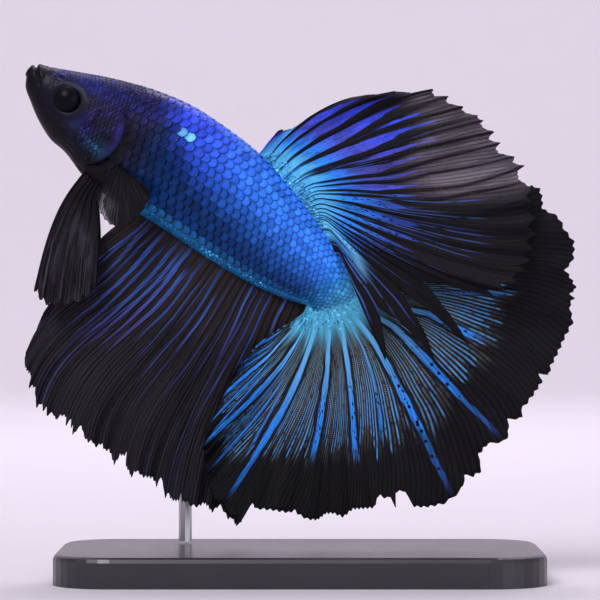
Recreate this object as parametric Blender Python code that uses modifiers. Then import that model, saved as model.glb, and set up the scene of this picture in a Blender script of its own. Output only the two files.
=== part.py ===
"""A life-size still model of a male halfmoon betta, nose up on a display stand.

Metres, +Z up, the nose towards -X and the fish's left side towards -Y. The fish is drawn level in
its own frame and then pitched nose-up: a runs from the snout to the tail, h runs from belly to back
and y runs across. Lengths are written in millimetres and scaled by MM when a mesh is made. The
membranes of the fins are sheets that follow their rays, thickened to a solid.
"""

import math

import bmesh
import bpy
import numpy as np
from mathutils import Matrix, Vector

MM = 0.001

# ---- driving sizes, in millimetres and degrees ----
STANDARD_LENGTH = 45.0  # snout to tail base
PITCH = 37.08  # nose-up tilt of the body axis
SNOUT_X = -32.5  # the snout's place over the stand
SNOUT_Z = 60.7
GAP = 0.3  # clearance that parts keep where they meet
FIN_THICKNESS = 0.55

BODY_SEGMENTS = 24
RINGS_PER_STATION = 2
SMOOTH_ANGLE = 40.0  # edges that turn more than this stay sharp

# Body stations: the back point (a, h), the belly point (a, h), the half width, and the sideways
# place of the middle line, which swings to the left at the tail.
STATIONS = [
    ((0.05, 1.05), (0.0, -0.7), 0.90, 0.0),  # lips
    ((0.8, 1.75), (0.75, -1.8), 1.45, 0.0),  # chin
    ((2.8, 2.7), (2.2, -2.76), 2.05, 0.0),  # snout
    ((5.2, 3.93), (4.25, -3.95), 2.75, 0.0),  # front of the eye
    ((7.6, 5.15), (6.85, -4.95), 3.25, 0.0),  # cheek
    ((10.3, 6.35), (9.3, -5.2), 3.65, 0.0),  # gill cover
    ((13.5, 7.6), (13.3, -6.3), 3.90, 0.0),  # shoulder
    ((17.9, 8.72), (17.7, -6.3), 3.95, 0.0),  # chest
    ((22.9, 9.1), (22.4, -5.6), 3.80, 0.0),  # trunk
    ((28.5, 8.95), (28.9, -5.2), 3.40, -0.1),  # front of the dorsal fin
    ((34.8, 7.65), (35.2, -4.6), 2.80, -0.3),  # loin
    ((40.3, 6.2), (40.0, -3.6), 2.10, -0.6),  # tail stalk
    ((44.6, 4.5), (42.8, -2.65), 1.45, -0.9),  # tail root
    ((47.0, 2.9), (43.5, -2.45), 1.00, -1.2),  # tail base
]

# Where the body is parted: distance along the body axis.
HEAD_END = 14.6
CHEST_END = 27.0
TRUNK_END = 38.0

EYE_PLACE = (5.85, 0.1)
EYE_RADIUS = 1.7
EYE_HALF_DEPTH = 1.15
EYE_OUT = 2.05  # the eye centre's distance from the middle plane

GILL_COVER_PLACE = (11.1, -1.0)
GILL_COVER_HALF = (3.0, 3.6)  # half its length and half its height
GILL_COVER_DEPTH = 2.6  # how near the middle plane the cover's inner face comes

MOUTH_SLIT = ((0.25, 0.95), (2.0, -0.3))  # front and corner of the mouth
CHIN_REACH = 6.0  # how far the jaw's wedge runs below the mouth
CUTTER_REACH = 8.0  # how far out a cutter runs, past the widest flank

# ---- display stand ----
BASE_LENGTH = 58.0
BASE_DEPTH = 32.0
BASE_HEIGHT = 3.6
BASE_CORNER = 7.0
BASE_EDGE = 0.6
BASE_CORNER_STEPS = 8
ROD_RADIUS = 0.8
ROD_BEHIND = 8.0  # how far behind the fish the upright stands
ROD_BEND = 3.0
ROD_BEND_STEPS = 8
ROD_SOCKET_PLACE = (22.0, 1.5)
ROD_SOCKET_DEPTH = 1.4
FLANK = 3.8  # the body's half width at the socket


# ---- small helpers ----
def spline(values, places):
    """A smooth curve through evenly spaced values, read at places from 0 to 1 (Catmull-Rom)."""
    values = np.asarray(values, float)
    places = np.asarray(places, float)
    count = len(values) - 1
    padded = np.concatenate([[2 * values[0] - values[1]], values, [2 * values[-1] - values[-2]]])
    step = np.clip(places * count, 0, count - 1e-9)
    index = step.astype(int)
    part = step - index
    if values.ndim > 1:
        part = part[..., None]
    p0, p1, p2, p3 = (padded[index + k] for k in range(4))
    bend = 2 * p0 - 5 * p1 + 4 * p2 - p3 + (3 * p1 - p0 - 3 * p2 + p3) * part
    return 0.5 * (2 * p1 + (p2 - p0) * part + bend * part**2)


def pitched(a, y, h):
    """Points of the level fish, in millimetres, as world points in metres."""
    tilt = math.radians(PITCH)
    x = SNOUT_X + np.asarray(a) * math.cos(tilt) + np.asarray(h) * math.sin(tilt)
    z = SNOUT_Z - np.asarray(a) * math.sin(tilt) + np.asarray(h) * math.cos(tilt)
    return np.stack(np.broadcast_arrays(x, y, z), axis=-1) * MM


def direction(degrees):
    """Unit vectors (a, h) at these angles above the body axis."""
    angle = np.radians(degrees)
    return np.stack([np.cos(angle), np.sin(angle)], axis=-1)


def clear_scene():
    for obj in list(bpy.data.objects):
        bpy.data.objects.remove(obj)


def collection(name):
    made = bpy.data.collections.new(name)
    bpy.context.scene.collection.children.link(made)
    return made


def material(name, colour, roughness, metallic=0.0):
    made = bpy.data.materials.new(name)
    made.use_nodes = True
    shader = made.node_tree.nodes["Principled BSDF"]
    shader.inputs["Base Color"].default_value = (*colour, 1.0)
    shader.inputs["Roughness"].default_value = roughness
    shader.inputs["Metallic"].default_value = metallic
    return made


def new_object(name, data, parts, finish=None):
    obj = bpy.data.objects.new(name, data)
    parts.objects.link(obj)
    if finish:
        data.materials.append(finish)
    return obj


def mesh_from(name, shape):
    mesh = bpy.data.meshes.new(name)
    shape.to_mesh(mesh)
    shape.free()
    mesh.shade_smooth()
    mesh.set_sharp_from_angle(angle=math.radians(SMOOTH_ANGLE))
    return mesh


def as_cutter(obj):
    obj.hide_render = True
    obj.display_type = "WIRE"
    return obj


def add_boolean(obj, operation, cutter):
    modifier = obj.modifiers.new(f"{operation.lower()}_{cutter.name}", "BOOLEAN")
    modifier.operation = operation
    modifier.solver = "EXACT"
    modifier.object = cutter


# ---- the body ----
def body_curves(places):
    """Back points, belly points, half widths and sideways places at places from 0 to 1."""
    rows = np.array([[*back, *belly, half_width, aside] for back, belly, half_width, aside in STATIONS])
    read = spline(rows, places)
    return read[..., 0:2], read[..., 2:4], read[..., 4], read[..., 5]


def body_rings():
    """World points of the body's elliptical rings, from the lips to the tail base."""
    places = np.linspace(0, 1, (len(STATIONS) - 1) * RINGS_PER_STATION + 1)
    back, belly, half_width, aside = (v[:, None] for v in body_curves(places))
    turn = np.linspace(0, 2 * math.pi, BODY_SEGMENTS, endpoint=False)[None, :]
    middle = (back + belly) / 2
    half = (back - belly) / 2
    point = middle + half * np.sin(turn)[..., None]
    return pitched(point[..., 0], aside + half_width * np.cos(turn), point[..., 1])


def body_mesh():
    """A loft through the rings, closed by a flat face at each end."""
    rings = body_rings()
    shape = bmesh.new()
    loops = [[shape.verts.new(p) for p in ring] for ring in rings]
    for front, rear in zip(loops, loops[1:]):
        for i in range(BODY_SEGMENTS):
            j = (i + 1) % BODY_SEGMENTS
            shape.faces.new((front[i], front[j], rear[j], rear[i]))
    shape.faces.new(reversed(loops[0]))
    shape.faces.new(loops[-1])
    bmesh.ops.recalc_face_normals(shape, faces=shape.faces)
    return mesh_from("body_loft", shape)


def body_length(name, start, end, parts, finish):
    """The length of the body between two cuts across its axis, each None for the body's own end."""
    shape = bmesh.new()
    shape.from_mesh(bpy.data.meshes["body_loft"])
    axis = Vector(pitched(1, 0, 0)) - Vector(pitched(0, 0, 0))
    for place, side in ((start, -1), (end, 1)):
        if place is None:
            continue
        cut = bmesh.ops.bisect_plane(
            shape,
            geom=shape.verts[:] + shape.edges[:] + shape.faces[:],
            plane_co=Vector(pitched(place - side * GAP / 2, 0, 0)),
            plane_no=axis * side,
            clear_outer=True,
        )
        rim = [e for e in cut["geom_cut"] if isinstance(e, bmesh.types.BMEdge)]
        bmesh.ops.edgenet_fill(shape, edges=rim)
    bmesh.ops.recalc_face_normals(shape, faces=shape.faces)
    return new_object(name, mesh_from(name, shape), parts, finish)


def ellipsoid(name, centre, radius, half_depth, parts, finish=None):
    """A round body in the side view, flattened across the fish. centre is (a, y, h)."""
    shape = bmesh.new()
    bmesh.ops.create_uvsphere(shape, u_segments=14, v_segments=8, radius=1)
    size = Matrix.Diagonal((radius * MM, radius * MM, half_depth * MM, 1))
    turn = Matrix.Rotation(math.radians(90), 4, "X")
    place = Matrix.Translation(Vector(pitched(*centre)))
    bmesh.ops.transform(shape, matrix=place @ turn @ size, verts=shape.verts)
    return new_object(name, mesh_from(name, shape), parts, finish)


def disc_cutter(name, centre, half_size, near, far, cutters):
    """An oval cylinder across the fish, from y = near to y = far. centre and half_size are (a, h)."""
    shape = bmesh.new()
    bmesh.ops.create_cone(
        shape,
        cap_ends=True,
        segments=20,
        radius1=1,
        radius2=1,
        depth=abs(far - near) * MM,
    )
    middle = Vector(pitched(centre[0], (near + far) / 2, centre[1]))
    across = Matrix.Rotation(math.radians(90), 4, "X")
    pitch = Matrix.Rotation(math.radians(PITCH), 4, "Y")
    size = Matrix.Diagonal((half_size[0] * MM, half_size[1] * MM, 1, 1))
    place = Matrix.Translation(middle) @ pitch @ across @ size
    bmesh.ops.transform(shape, matrix=place, verts=shape.verts)
    return as_cutter(new_object(name, mesh_from(name, shape), cutters))


def jaw_cutter(name, clearance, cutters):
    """A wedge under the mouth slit and in front of its corner, grown by clearance."""
    front, corner = (np.array(p) for p in MOUTH_SLIT)
    slope = (corner - front) / np.linalg.norm(corner - front)
    rise = np.array([-slope[1], slope[0]]) * clearance
    ahead = front - 3 * slope + rise
    behind = corner + rise + (clearance, 0.0)
    # A cube whose four corners in the side view are moved to the wedge's own.
    corners = {
        (-1, 1): ahead,
        (1, 1): behind,
        (1, -1): (behind[0], -CHIN_REACH),
        (-1, -1): (ahead[0], -CHIN_REACH),
    }
    shape = bmesh.new()
    bmesh.ops.create_cube(shape, size=2)
    for vert in shape.verts:
        a, h = corners[(round(vert.co.x), round(vert.co.z))]
        vert.co = Vector(pitched(a, CUTTER_REACH / 2 * vert.co.y, h))
    return as_cutter(new_object(name, mesh_from(name, shape), cutters))


def add_eyes(parts, cutters, head, finish):
    a, h = EYE_PLACE
    for side, y in (("left", -EYE_OUT), ("right", EYE_OUT)):
        ellipsoid(f"eye_{side}", (a, y, h), EYE_RADIUS, EYE_HALF_DEPTH, parts, finish)
        room = (EYE_RADIUS + GAP, EYE_HALF_DEPTH + GAP)
        socket = as_cutter(ellipsoid(f"socket_{side}", (a, y, h), *room, cutters))
        add_boolean(head, "DIFFERENCE", socket)


def add_gill_covers(parts, cutters, head, finish):
    """Each cover is a slice of the body inside an oval cutter, in a pocket a little larger."""
    pocket_half = [half + GAP for half in GILL_COVER_HALF]
    for side, sign in (("left", -1), ("right", 1)):
        floor, out = sign * GILL_COVER_DEPTH, sign * CUTTER_REACH
        oval = disc_cutter(f"gill_{side}", GILL_COVER_PLACE, GILL_COVER_HALF, floor, out, cutters)
        floor -= sign * GAP
        pocket = disc_cutter(f"pocket_{side}", GILL_COVER_PLACE, pocket_half, floor, out, cutters)
        cover_mesh = bpy.data.meshes["body_loft"].copy()
        cover = new_object(f"gill_cover_{side}", cover_mesh, parts, finish)
        add_boolean(cover, "INTERSECT", oval)
        add_boolean(head, "DIFFERENCE", pocket)


def add_lower_jaw(parts, cutters, head, finish):
    jaw = new_object("lower_jaw", bpy.data.meshes["body_loft"].copy(), parts, finish)
    add_boolean(jaw, "INTERSECT", jaw_cutter("jaw_wedge", 0.0, cutters))
    add_boolean(head, "DIFFERENCE", jaw_cutter("jaw_room", GAP, cutters))


# ---- the fins ----
ROOT_SLACK = 0.2  # room past the gap, for the slope of the back and belly


def ragged(u, count, depth):
    """The share of its length that each ray keeps: pointed tips with uneven hollows between them."""
    phase = u * count
    hollow = 1 - (2 * (phase % 1.0) - 1) ** 2
    return 1 - depth * hollow * (1 + 0.6 * np.sin(2.4 * np.floor(phase)))


def ray_points(root, tip, leave_angle, arrive_angle, t):
    """Points along rays that leave root and reach tip at these angles (a Hermite curve)."""
    reach = np.linalg.norm(tip - root, axis=-1, keepdims=True)
    leave = direction(leave_angle) * reach
    arrive = direction(arrive_angle) * reach
    t = t[..., None]
    return (
        (2 * t**3 - 3 * t**2 + 1) * root
        + (t**3 - 2 * t**2 + t) * leave
        + (3 * t**2 - 2 * t**3) * tip
        + (t**3 - t**2) * arrive
    )


def profile_root(a, side):
    """Points and sideways places just off the back (side 1) or the belly (side -1)."""
    back, belly, _, aside = body_curves(np.linspace(0, 1, 300))
    line = back if side > 0 else belly
    h = np.interp(a, line[:, 0], line[:, 1]) + side * (GAP + ROOT_SLACK)
    return np.stack([a, h], axis=-1), np.interp(a, line[:, 0], aside)


class Fin:
    """One fin as a sheet: u runs across its rays and t along them.

    Each row of rays gives, at even steps of u, where a ray starts along the root, then the bearing
    and distance of its tip from centre, then the angles at which it leaves and arrives. Angles are
    in degrees above the body axis.
    """

    columns = 56
    rows = 6
    teeth = 28
    tooth_depth = 0.04
    waves = 5.0
    wave_height = 0.7

    def root(self, start):
        """Where rays start: points (a, h) and sideways places."""
        raise NotImplementedError

    def trim(self, u):
        """The share of its full length that a ray keeps."""
        return ragged(u, self.teeth, self.tooth_depth)

    def lean(self, u, t):
        """How far the sheet leaves the middle plane, before its ripple."""
        raise NotImplementedError

    def sheet(self, u, t):
        """(a, y, h) of the sheet's middle surface."""
        start, bearing, distance, leave, arrive = spline(self.rays, u).T
        root, root_y = self.root(start)
        tip = np.array(self.centre) + direction(bearing) * distance[:, None]
        along = t * self.trim(u)
        point = ray_points(root, tip, leave, arrive, along)
        ripple = self.wave_height * along**1.5 * np.sin(2 * math.pi * self.waves * u)
        return point[..., 0], root_y + self.lean(u, along) + ripple, point[..., 1]

    def build(self, name, parts, finish):
        """A grid moved onto the sheet and thickened."""
        shape = bmesh.new()
        bmesh.ops.create_grid(shape, x_segments=self.columns, y_segments=self.rows, size=1)
        flat = np.array([v.co[:2] for v in shape.verts]) / 2 + 0.5
        for vert, place in zip(shape.verts, pitched(*self.sheet(flat[:, 0], flat[:, 1]))):
            vert.co = place
        fin = new_object(name, mesh_from(name, shape), parts, finish)
        solid = fin.modifiers.new("thickness", "SOLIDIFY")
        solid.thickness = FIN_THICKNESS * MM
        solid.offset = 0
        return fin


class CaudalFin(Fin):
    """The half-moon tail: a fan of 170 degrees from the slanting tail base, start running 0 to 1."""

    columns = 60
    teeth = 30
    tooth_depth = 0.03
    wave_height = 0.8
    centre = (STANDARD_LENGTH + 0.3, 0.0)
    base_inset = 0.04  # of the tail base's height, free at each end
    swing = -0.6
    # A tassel of longer rays hangs from the lower edge.
    tassel_place = 0.325
    tassel_width = 0.012
    tassel_reach = 0.06
    rays = (
        (0.00, -107.0, 13.5, -108, -87),
        (0.02, -101.0, 17.5, -101, -85),
        (0.04, -96.2, 21.8, -93, -89),
        (0.07, -92.6, 23.7, -75, -94),
        (0.10, -87.8, 26.1, -69, -87),
        (0.16, -79.6, 27.8, -64, -83),
        (0.24, -71.1, 26.3, -60, -73),
        (0.32, -60.2, 25.9, -53, -64),
        (0.38, -52.2, 25.5, -43, -55),
        (0.44, -43.9, 25.7, -35, -45),
        (0.50, -35.1, 26.1, -23, -39),
        (0.57, -21.4, 27.5, -14, -27),
        (0.64, -4.0, 26.7, -3, -9),
        (0.72, 11.4, 27.2, 11, -1),
        (0.79, 26.0, 28.2, 25, 15),
        (0.86, 39.4, 29.3, 39, 31),
        (0.93, 51.9, 29.9, 53, 51),
        (1.00, 66.8, 28.0, 65, 70),
    )

    def root(self, start):
        back, belly, _, aside = (v[0] for v in body_curves(np.array([1.0])))
        away = np.array([back[1] - belly[1], belly[0] - back[0]])
        away = away / np.linalg.norm(away) * (GAP + ROOT_SLACK / 2)
        share = self.base_inset + (1 - 2 * self.base_inset) * start[:, None]
        return belly + away + share * (back - belly), aside + 0 * start

    def trim(self, u):
        tassel = np.exp(-(((u - self.tassel_place) / self.tassel_width) ** 2))
        return super().trim(u) * (1 + self.tassel_reach * tassel)

    def lean(self, u, t):
        return self.swing * t


class DorsalFin(Fin):
    """The back fin. Its leading edge steps up fast, and its last rays hang over the tail."""

    columns = 60
    rows = 7
    teeth = 30
    centre = (38.2, 7.4)
    rays = (
        (28.0, 154.0, 11.2, 97, 89),
        (28.6, 129.0, 12.4, 92, 56),
        (29.2, 105.0, 15.5, 87, 50),
        (29.9, 94.5, 17.5, 82, 51),
        (30.9, 84.9, 20.0, 76, 51),
        (31.9, 73.0, 21.4, 68, 49),
        (32.9, 65.0, 22.7, 58, 49),
        (33.7, 57.5, 23.6, 50, 50),
        (34.3, 50.7, 24.9, 42, 52),
        (34.9, 44.0, 25.0, 36, 49),
        (35.4, 36.0, 25.3, 29, 46),
        (36.0, 28.0, 25.7, 22, 42),
        (36.6, 21.5, 25.4, 13, 34),
        (37.2, 14.5, 23.8, 6, 25),
        (38.1, 7.5, 21.6, -4, 10),
        (39.4, -4.6, 23.5, -12, -17),
        (41.6, -14.9, 21.6, -14, -25),
        (44.0, -29.2, 19.1, -20, -40),
    )
    # Three pointed lappets hang at the rear: places across the rays and the length kept there.
    lappet_places = (0.0, 0.8, 0.853, 0.882, 0.912, 0.941, 0.971, 1.0)
    lappet_lengths = (1.0, 1.0, 0.8, 1.0, 0.75, 1.0, 0.77, 1.0)
    # The rear of the fin swings to the left, over the tail fin.
    front_swing = -1.2
    rear_swing = -5.2
    swing_places = (0.25, 0.6)

    def root(self, start):
        return profile_root(start, 1)

    def trim(self, u):
        return np.interp(u, self.lappet_places, self.lappet_lengths) * super().trim(u)

    def lean(self, u, t):
        swing = np.interp(u, self.swing_places, (self.front_swing, self.rear_swing))
        return swing * (1 - np.exp(-2.2 * t))


class AnalFin(Fin):
    """The long belly fin, whose rays sweep forward and then hang."""

    centre = (29.25, -4.7)
    rays = (
        (20.2, -121.0, 20.3, -100, -92),
        (25.3, -109.0, 25.0, -98, -76),
        (29.4, -95.0, 26.5, -90, -66),
        (32.2, -82.5, 26.5, -84, -61),
        (34.4, -73.0, 27.0, -79, -60),
        (36.4, -64.0, 28.8, -74, -60),
        (38.4, -55.0, 30.5, -71, -59),
        (40.6, -46.0, 32.2, -70, -58),
        (42.5, -40.0, 31.5, -70, -58),
    )

    # Its rear rays start and swing to the right, behind the tail fin.
    rear_start = (34.0, 42.0)
    rear_aside = 0.9
    front_swing = 0.4
    rear_swing = 1.9

    def root(self, start):
        point, aside = profile_root(start, -1)
        return point, aside + np.interp(start, self.rear_start, (0, self.rear_aside))

    def lean(self, u, t):
        return np.interp(u, (0.3, 1.0), (self.front_swing, self.rear_swing)) * t


class PairedFin(Fin):
    """A fin of a pair: side -1 is the fish's left and 1 its right. start runs 0 to 1."""

    columns = 12
    rows = 5
    teeth = 6
    waves = 1.5
    wave_height = 0.3

    def __init__(self, side):
        self.side = side

    def root(self, start):
        front, rear = (np.array(p) for p in self.root_line)
        return front + start[:, None] * (rear - front), self.side * self.root_out + 0 * start

    def lean(self, u, t):
        return self.side * self.spread * t


class PelvicFin(PairedFin):
    """The long throat fins, like a pointed sail."""

    rows = 6
    centre = (13.6, -6.6)
    root_line = ((13.0, -6.6), (15.2, -6.6))
    root_out = 1.2
    spread = 2.4
    rays = (
        (0.0, -78, 14.2, -118, -64),
        (0.25, -71, 15.2, -98, -60),
        (0.5, -64, 14.9, -78, -58),
        (0.75, -55, 14.1, -60, -57),
        (1.0, -47, 12.7, -46, -58),
    )


class PectoralFin(PairedFin):
    """The small clear fins behind the gill covers, spread downwards."""

    centre = (16.0, -2.3)
    root_line = ((15.5, -2.1), (16.6, -2.6))
    root_out = 4.15
    spread = 1.6
    rays = (
        (0.0, -90, 4.8, -104, -80),
        (0.25, -72, 6.6, -78, -68),
        (0.5, -54, 7.4, -52, -54),
        (0.75, -32, 6.2, -28, -38),
        (1.0, -4, 4.6, 2, -14),
    )


# ---- the stand ----
def add_base(parts, finish):
    """A flat plate with round corners and a softened top edge, its foot on the ground."""
    shape = bmesh.new()
    bmesh.ops.create_cube(shape, size=1)
    size = Matrix.Diagonal((BASE_LENGTH * MM, BASE_DEPTH * MM, BASE_HEIGHT * MM, 1))
    lift = Matrix.Translation((0, 0, BASE_HEIGHT * MM / 2))
    bmesh.ops.transform(shape, matrix=lift @ size, verts=shape.verts)
    upright = [e for e in shape.edges if e.verts[0].co.xy == e.verts[1].co.xy]
    bevel(shape, upright, BASE_CORNER, BASE_CORNER_STEPS)
    top = max(shape.faces, key=lambda face: face.calc_center_median().z)
    bevel(shape, top.edges[:], BASE_EDGE, 2)
    return new_object("stand_base", mesh_from("stand_base", shape), parts, finish)


def bevel(shape, edges, width, steps):
    bmesh.ops.bevel(shape, geom=edges, offset=width * MM, segments=steps, affect="EDGES", profile=0.5)


def curve_to_mesh(obj, parts, finish):
    """The curve as a mesh with welded caps."""
    bpy.context.view_layer.update()
    graph = bpy.context.evaluated_depsgraph_get()
    mesh = bpy.data.meshes.new_from_object(obj.evaluated_get(graph))
    shape = bmesh.new()
    shape.from_mesh(mesh)
    bmesh.ops.remove_doubles(shape, verts=shape.verts, dist=1e-6)
    bmesh.ops.recalc_face_normals(shape, faces=shape.faces)
    shape.to_mesh(mesh)
    shape.free()
    name, place = obj.name, obj.matrix_world.copy()
    bpy.data.objects.remove(obj)
    mesh.shade_smooth()
    mesh.set_sharp_from_angle(angle=math.radians(SMOOTH_ANGLE))
    made = new_object(name, mesh, parts, finish)
    made.matrix_world = place


def add_rod(parts, cutters, trunk, finish):
    """An upright behind the fish that bends forward into a blind socket in the right flank."""
    x, _, z = pitched(ROD_SOCKET_PLACE[0], 0, ROD_SOCKET_PLACE[1])
    upright_y, bend = ROD_BEHIND * MM, ROD_BEND * MM
    socket_floor = FLANK - ROD_SOCKET_DEPTH
    points = [(x, upright_y, (BASE_HEIGHT + GAP) * MM)]
    for turn in np.radians(np.linspace(0, 90, ROD_BEND_STEPS + 1)):
        points.append((x, upright_y - bend * (1 - math.cos(turn)), z - bend * (1 - math.sin(turn))))
    points.append((x, (socket_floor + GAP) * MM, z))
    curve = bpy.data.curves.new("stand_rod", "CURVE")
    curve.dimensions = "3D"
    curve.bevel_depth = ROD_RADIUS * MM
    curve.bevel_resolution = 2
    curve.use_fill_caps = True
    line = curve.splines.new("POLY")
    line.points.add(len(points) - 1)
    for point, place in zip(line.points, points):
        point.co = (*place, 1)
    curve_to_mesh(new_object("stand_rod", curve, parts), parts, finish)
    bore = (ROD_RADIUS + GAP, ROD_RADIUS + GAP)
    socket = disc_cutter("rod_socket", ROD_SOCKET_PLACE, bore, socket_floor, CUTTER_REACH, cutters)
    add_boolean(trunk, "DIFFERENCE", socket)


def main():
    clear_scene()
    parts = collection("halfmoon_betta")
    cutters = collection("cutters")
    skin = material("scaled_skin", (0.03, 0.12, 0.55), 0.4, 0.4)
    mask = material("dark_head", (0.02, 0.02, 0.06), 0.45, 0.1)
    membrane = material("fin_membrane", (0.02, 0.03, 0.08), 0.5)
    eye = material("eye", (0.01, 0.01, 0.012), 0.1)
    lacquer = material("stand_lacquer", (0.75, 0.74, 0.73), 0.4)
    steel = material("stand_steel", (0.6, 0.6, 0.6), 0.35, 1.0)

    body_mesh()
    head = body_length("head", None, HEAD_END, parts, mask)
    chest = body_length("trunk_front", HEAD_END, CHEST_END, parts, skin)
    body_length("trunk_rear", CHEST_END, TRUNK_END, parts, skin)
    body_length("tail_stalk", TRUNK_END, None, parts, skin)
    add_lower_jaw(parts, cutters, head, mask)
    add_eyes(parts, cutters, head, eye)
    add_gill_covers(parts, cutters, head, mask)

    CaudalFin().build("caudal_fin", parts, membrane)
    DorsalFin().build("dorsal_fin", parts, membrane)
    AnalFin().build("anal_fin", parts, membrane)
    for side, sign in (("left", -1), ("right", 1)):
        PelvicFin(sign).build(f"pelvic_fin_{side}", parts, membrane)
        PectoralFin(sign).build(f"pectoral_fin_{side}", parts, membrane)

    add_base(parts, lacquer)
    add_rod(parts, cutters, chest, steel)


main()
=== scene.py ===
"""A life-size male halfmoon betta, nose up on a display stand: skin, scales, eyes and fins.

The fish is drawn level in its own frame and then pitched nose-up: a runs from the snout to the
tail, y across and h from belly to back, in millimetres. Each surface is a function of two
parameters, worked out as whole arrays.
"""

import math

import bpy
import numpy as np
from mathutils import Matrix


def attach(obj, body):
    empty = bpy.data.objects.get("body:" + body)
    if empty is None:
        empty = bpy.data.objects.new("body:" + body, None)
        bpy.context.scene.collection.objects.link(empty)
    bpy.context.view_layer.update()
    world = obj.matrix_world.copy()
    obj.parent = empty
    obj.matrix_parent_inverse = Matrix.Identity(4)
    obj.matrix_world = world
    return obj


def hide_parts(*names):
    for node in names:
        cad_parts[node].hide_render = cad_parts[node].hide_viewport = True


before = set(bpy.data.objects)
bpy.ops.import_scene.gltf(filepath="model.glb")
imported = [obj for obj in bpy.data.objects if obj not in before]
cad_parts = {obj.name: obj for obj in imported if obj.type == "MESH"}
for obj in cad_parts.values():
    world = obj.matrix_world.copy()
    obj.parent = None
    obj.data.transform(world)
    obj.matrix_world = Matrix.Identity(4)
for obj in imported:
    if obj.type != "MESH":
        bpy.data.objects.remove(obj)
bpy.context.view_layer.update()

MM = 0.001

# ---- the fish's frame, in millimetres and degrees ----
PITCH = 37.08
SNOUT_X = -32.5
SNOUT_Z = 60.7

# Body stations: back point (a, h), belly point (a, h), half width and sideways place. The last two
# are the skin's taper over the root of the tail fin.
STATIONS = np.array([
    (0.05, 1.05, 0.0, -0.7, 0.90, 0.0),  # lips
    (0.8, 1.75, 0.75, -1.8, 1.45, 0.0),  # chin
    (2.8, 2.7, 2.2, -2.76, 2.05, 0.0),  # snout
    (5.2, 3.93, 4.25, -3.95, 2.75, 0.0),  # front of the eye
    (7.6, 5.15, 6.85, -4.95, 3.25, 0.0),  # cheek
    (10.3, 6.35, 9.3, -5.2, 3.65, 0.0),  # gill cover
    (13.5, 7.6, 13.3, -6.3, 3.90, 0.0),  # shoulder
    (17.9, 8.72, 17.7, -6.3, 3.95, 0.0),  # chest
    (22.9, 9.1, 22.4, -5.6, 3.80, 0.0),  # trunk
    (28.5, 8.95, 28.9, -5.2, 3.40, -0.1),  # front of the dorsal fin
    (34.8, 7.65, 35.2, -4.6, 2.80, -0.3),  # loin
    (40.3, 6.2, 40.0, -3.6, 2.10, -0.6),  # tail stalk
    (44.6, 4.5, 42.8, -2.65, 1.45, -0.9),  # tail root
    (47.0, 2.9, 43.5, -2.45, 1.00, -1.2),  # tail base
    (47.8, 2.4, 44.3, -2.90, 0.50, -1.2),  # over the fin's root
    (48.4, 1.8, 45.1, -3.05, 0.12, -1.2),
])

EYE_PLACE = np.array([5.85, 0.1])
EYE_OUT = 2.05
EYE_RADIUS = 1.7
EYE_HALF_DEPTH = 1.15
GILL_ARC = (9.2, -1.02, 4.9)  # middle (a, h) and radius of the gill cover's rear edge
MOUTH_SLIT = np.array([(0.15, 1.18), (2.0, -0.35)])
SKIN_INSET_HEAD = 0.08
SKIN_INSET_TRUNK = 0.17
SKIN_AROUND = 240  # points on each ring of the skin
SKIN_HEAD_END = 15.0  # the rings stand closer in front of this a
HEAD_RINGS, TRUNK_RINGS, DOME_RINGS = 131, 156, 12
SNOUT_DOME, TAIL_DOME = 0.36, 0.25  # how far the two ends stand out

# The coat: rows on each side and the step along them.
TRUNK_ROWS, TRUNK_PITCH = 16, 1.14
STRIP_ROWS, STRIP_PITCH = 40, 0.62
HEAD_ROWS, HEAD_PITCH = 27, 0.68


# ---- small helpers ----
def pitched(points):
    """(a, y, h) in millimetres as (x, y, z) in metres: turned nose-up about y, then moved."""
    tilt = math.radians(PITCH)
    a, y, h = np.moveaxis(np.asarray(points, float), -1, 0)
    x = SNOUT_X + a * math.cos(tilt) + h * math.sin(tilt)
    z = SNOUT_Z - a * math.sin(tilt) + h * math.cos(tilt)
    return np.stack([x, y, z], axis=-1) * MM


def smooth(x, low, high):
    """0 below low, 1 above high, with an S-shaped rise between them."""
    t = np.clip((x - low) / (high - low), 0, 1)
    return t * t * (3 - 2 * t)


def fade(x, low, high):
    """1 below low, 0 above high: the other side of smooth."""
    return 1 - smooth(x, low, high)


def bell(x, width):
    """1 at 0, falling away on both sides over about that width."""
    return np.exp(-((x / width) ** 2))


def mottle(x, y, seed):
    """Soft patches from 0 to 1: random heights at the whole numbers of x and y, joined smoothly."""
    table = np.random.default_rng(seed).random((64, 64))
    x, y = np.broadcast_arrays(x, y)
    column, row = np.floor(x).astype(int), np.floor(y).astype(int)
    fx, fy = smooth(x - column, 0, 1), smooth(y - row, 0, 1)
    near = table[column % 64, row % 64] * (1 - fx) + table[(column + 1) % 64, row % 64] * fx
    far = table[column % 64, (row + 1) % 64] * (1 - fx) + table[(column + 1) % 64, (row + 1) % 64] * fx
    return near * (1 - fy) + far * fy


def spline(values, places):
    """A smooth curve through evenly spaced values, read at places from 0 to 1 (Catmull-Rom)."""
    values = np.asarray(values, float)
    places = np.asarray(places, float)
    count = len(values) - 1
    padded = np.concatenate([[2 * values[0] - values[1]], values, [2 * values[-1] - values[-2]]])
    step = np.clip(places * count, 0, count - 1e-9)
    index = step.astype(int)
    part = step - index
    if values.ndim > 1:
        part = part[..., None]
    p0, p1, p2, p3 = (padded[index + k] for k in range(4))
    bend = 2 * p0 - 5 * p1 + 4 * p2 - p3 + (3 * p1 - p0 - 3 * p2 + p3) * part
    return 0.5 * (2 * p1 + (p2 - p0) * part + bend * part**2)


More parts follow.
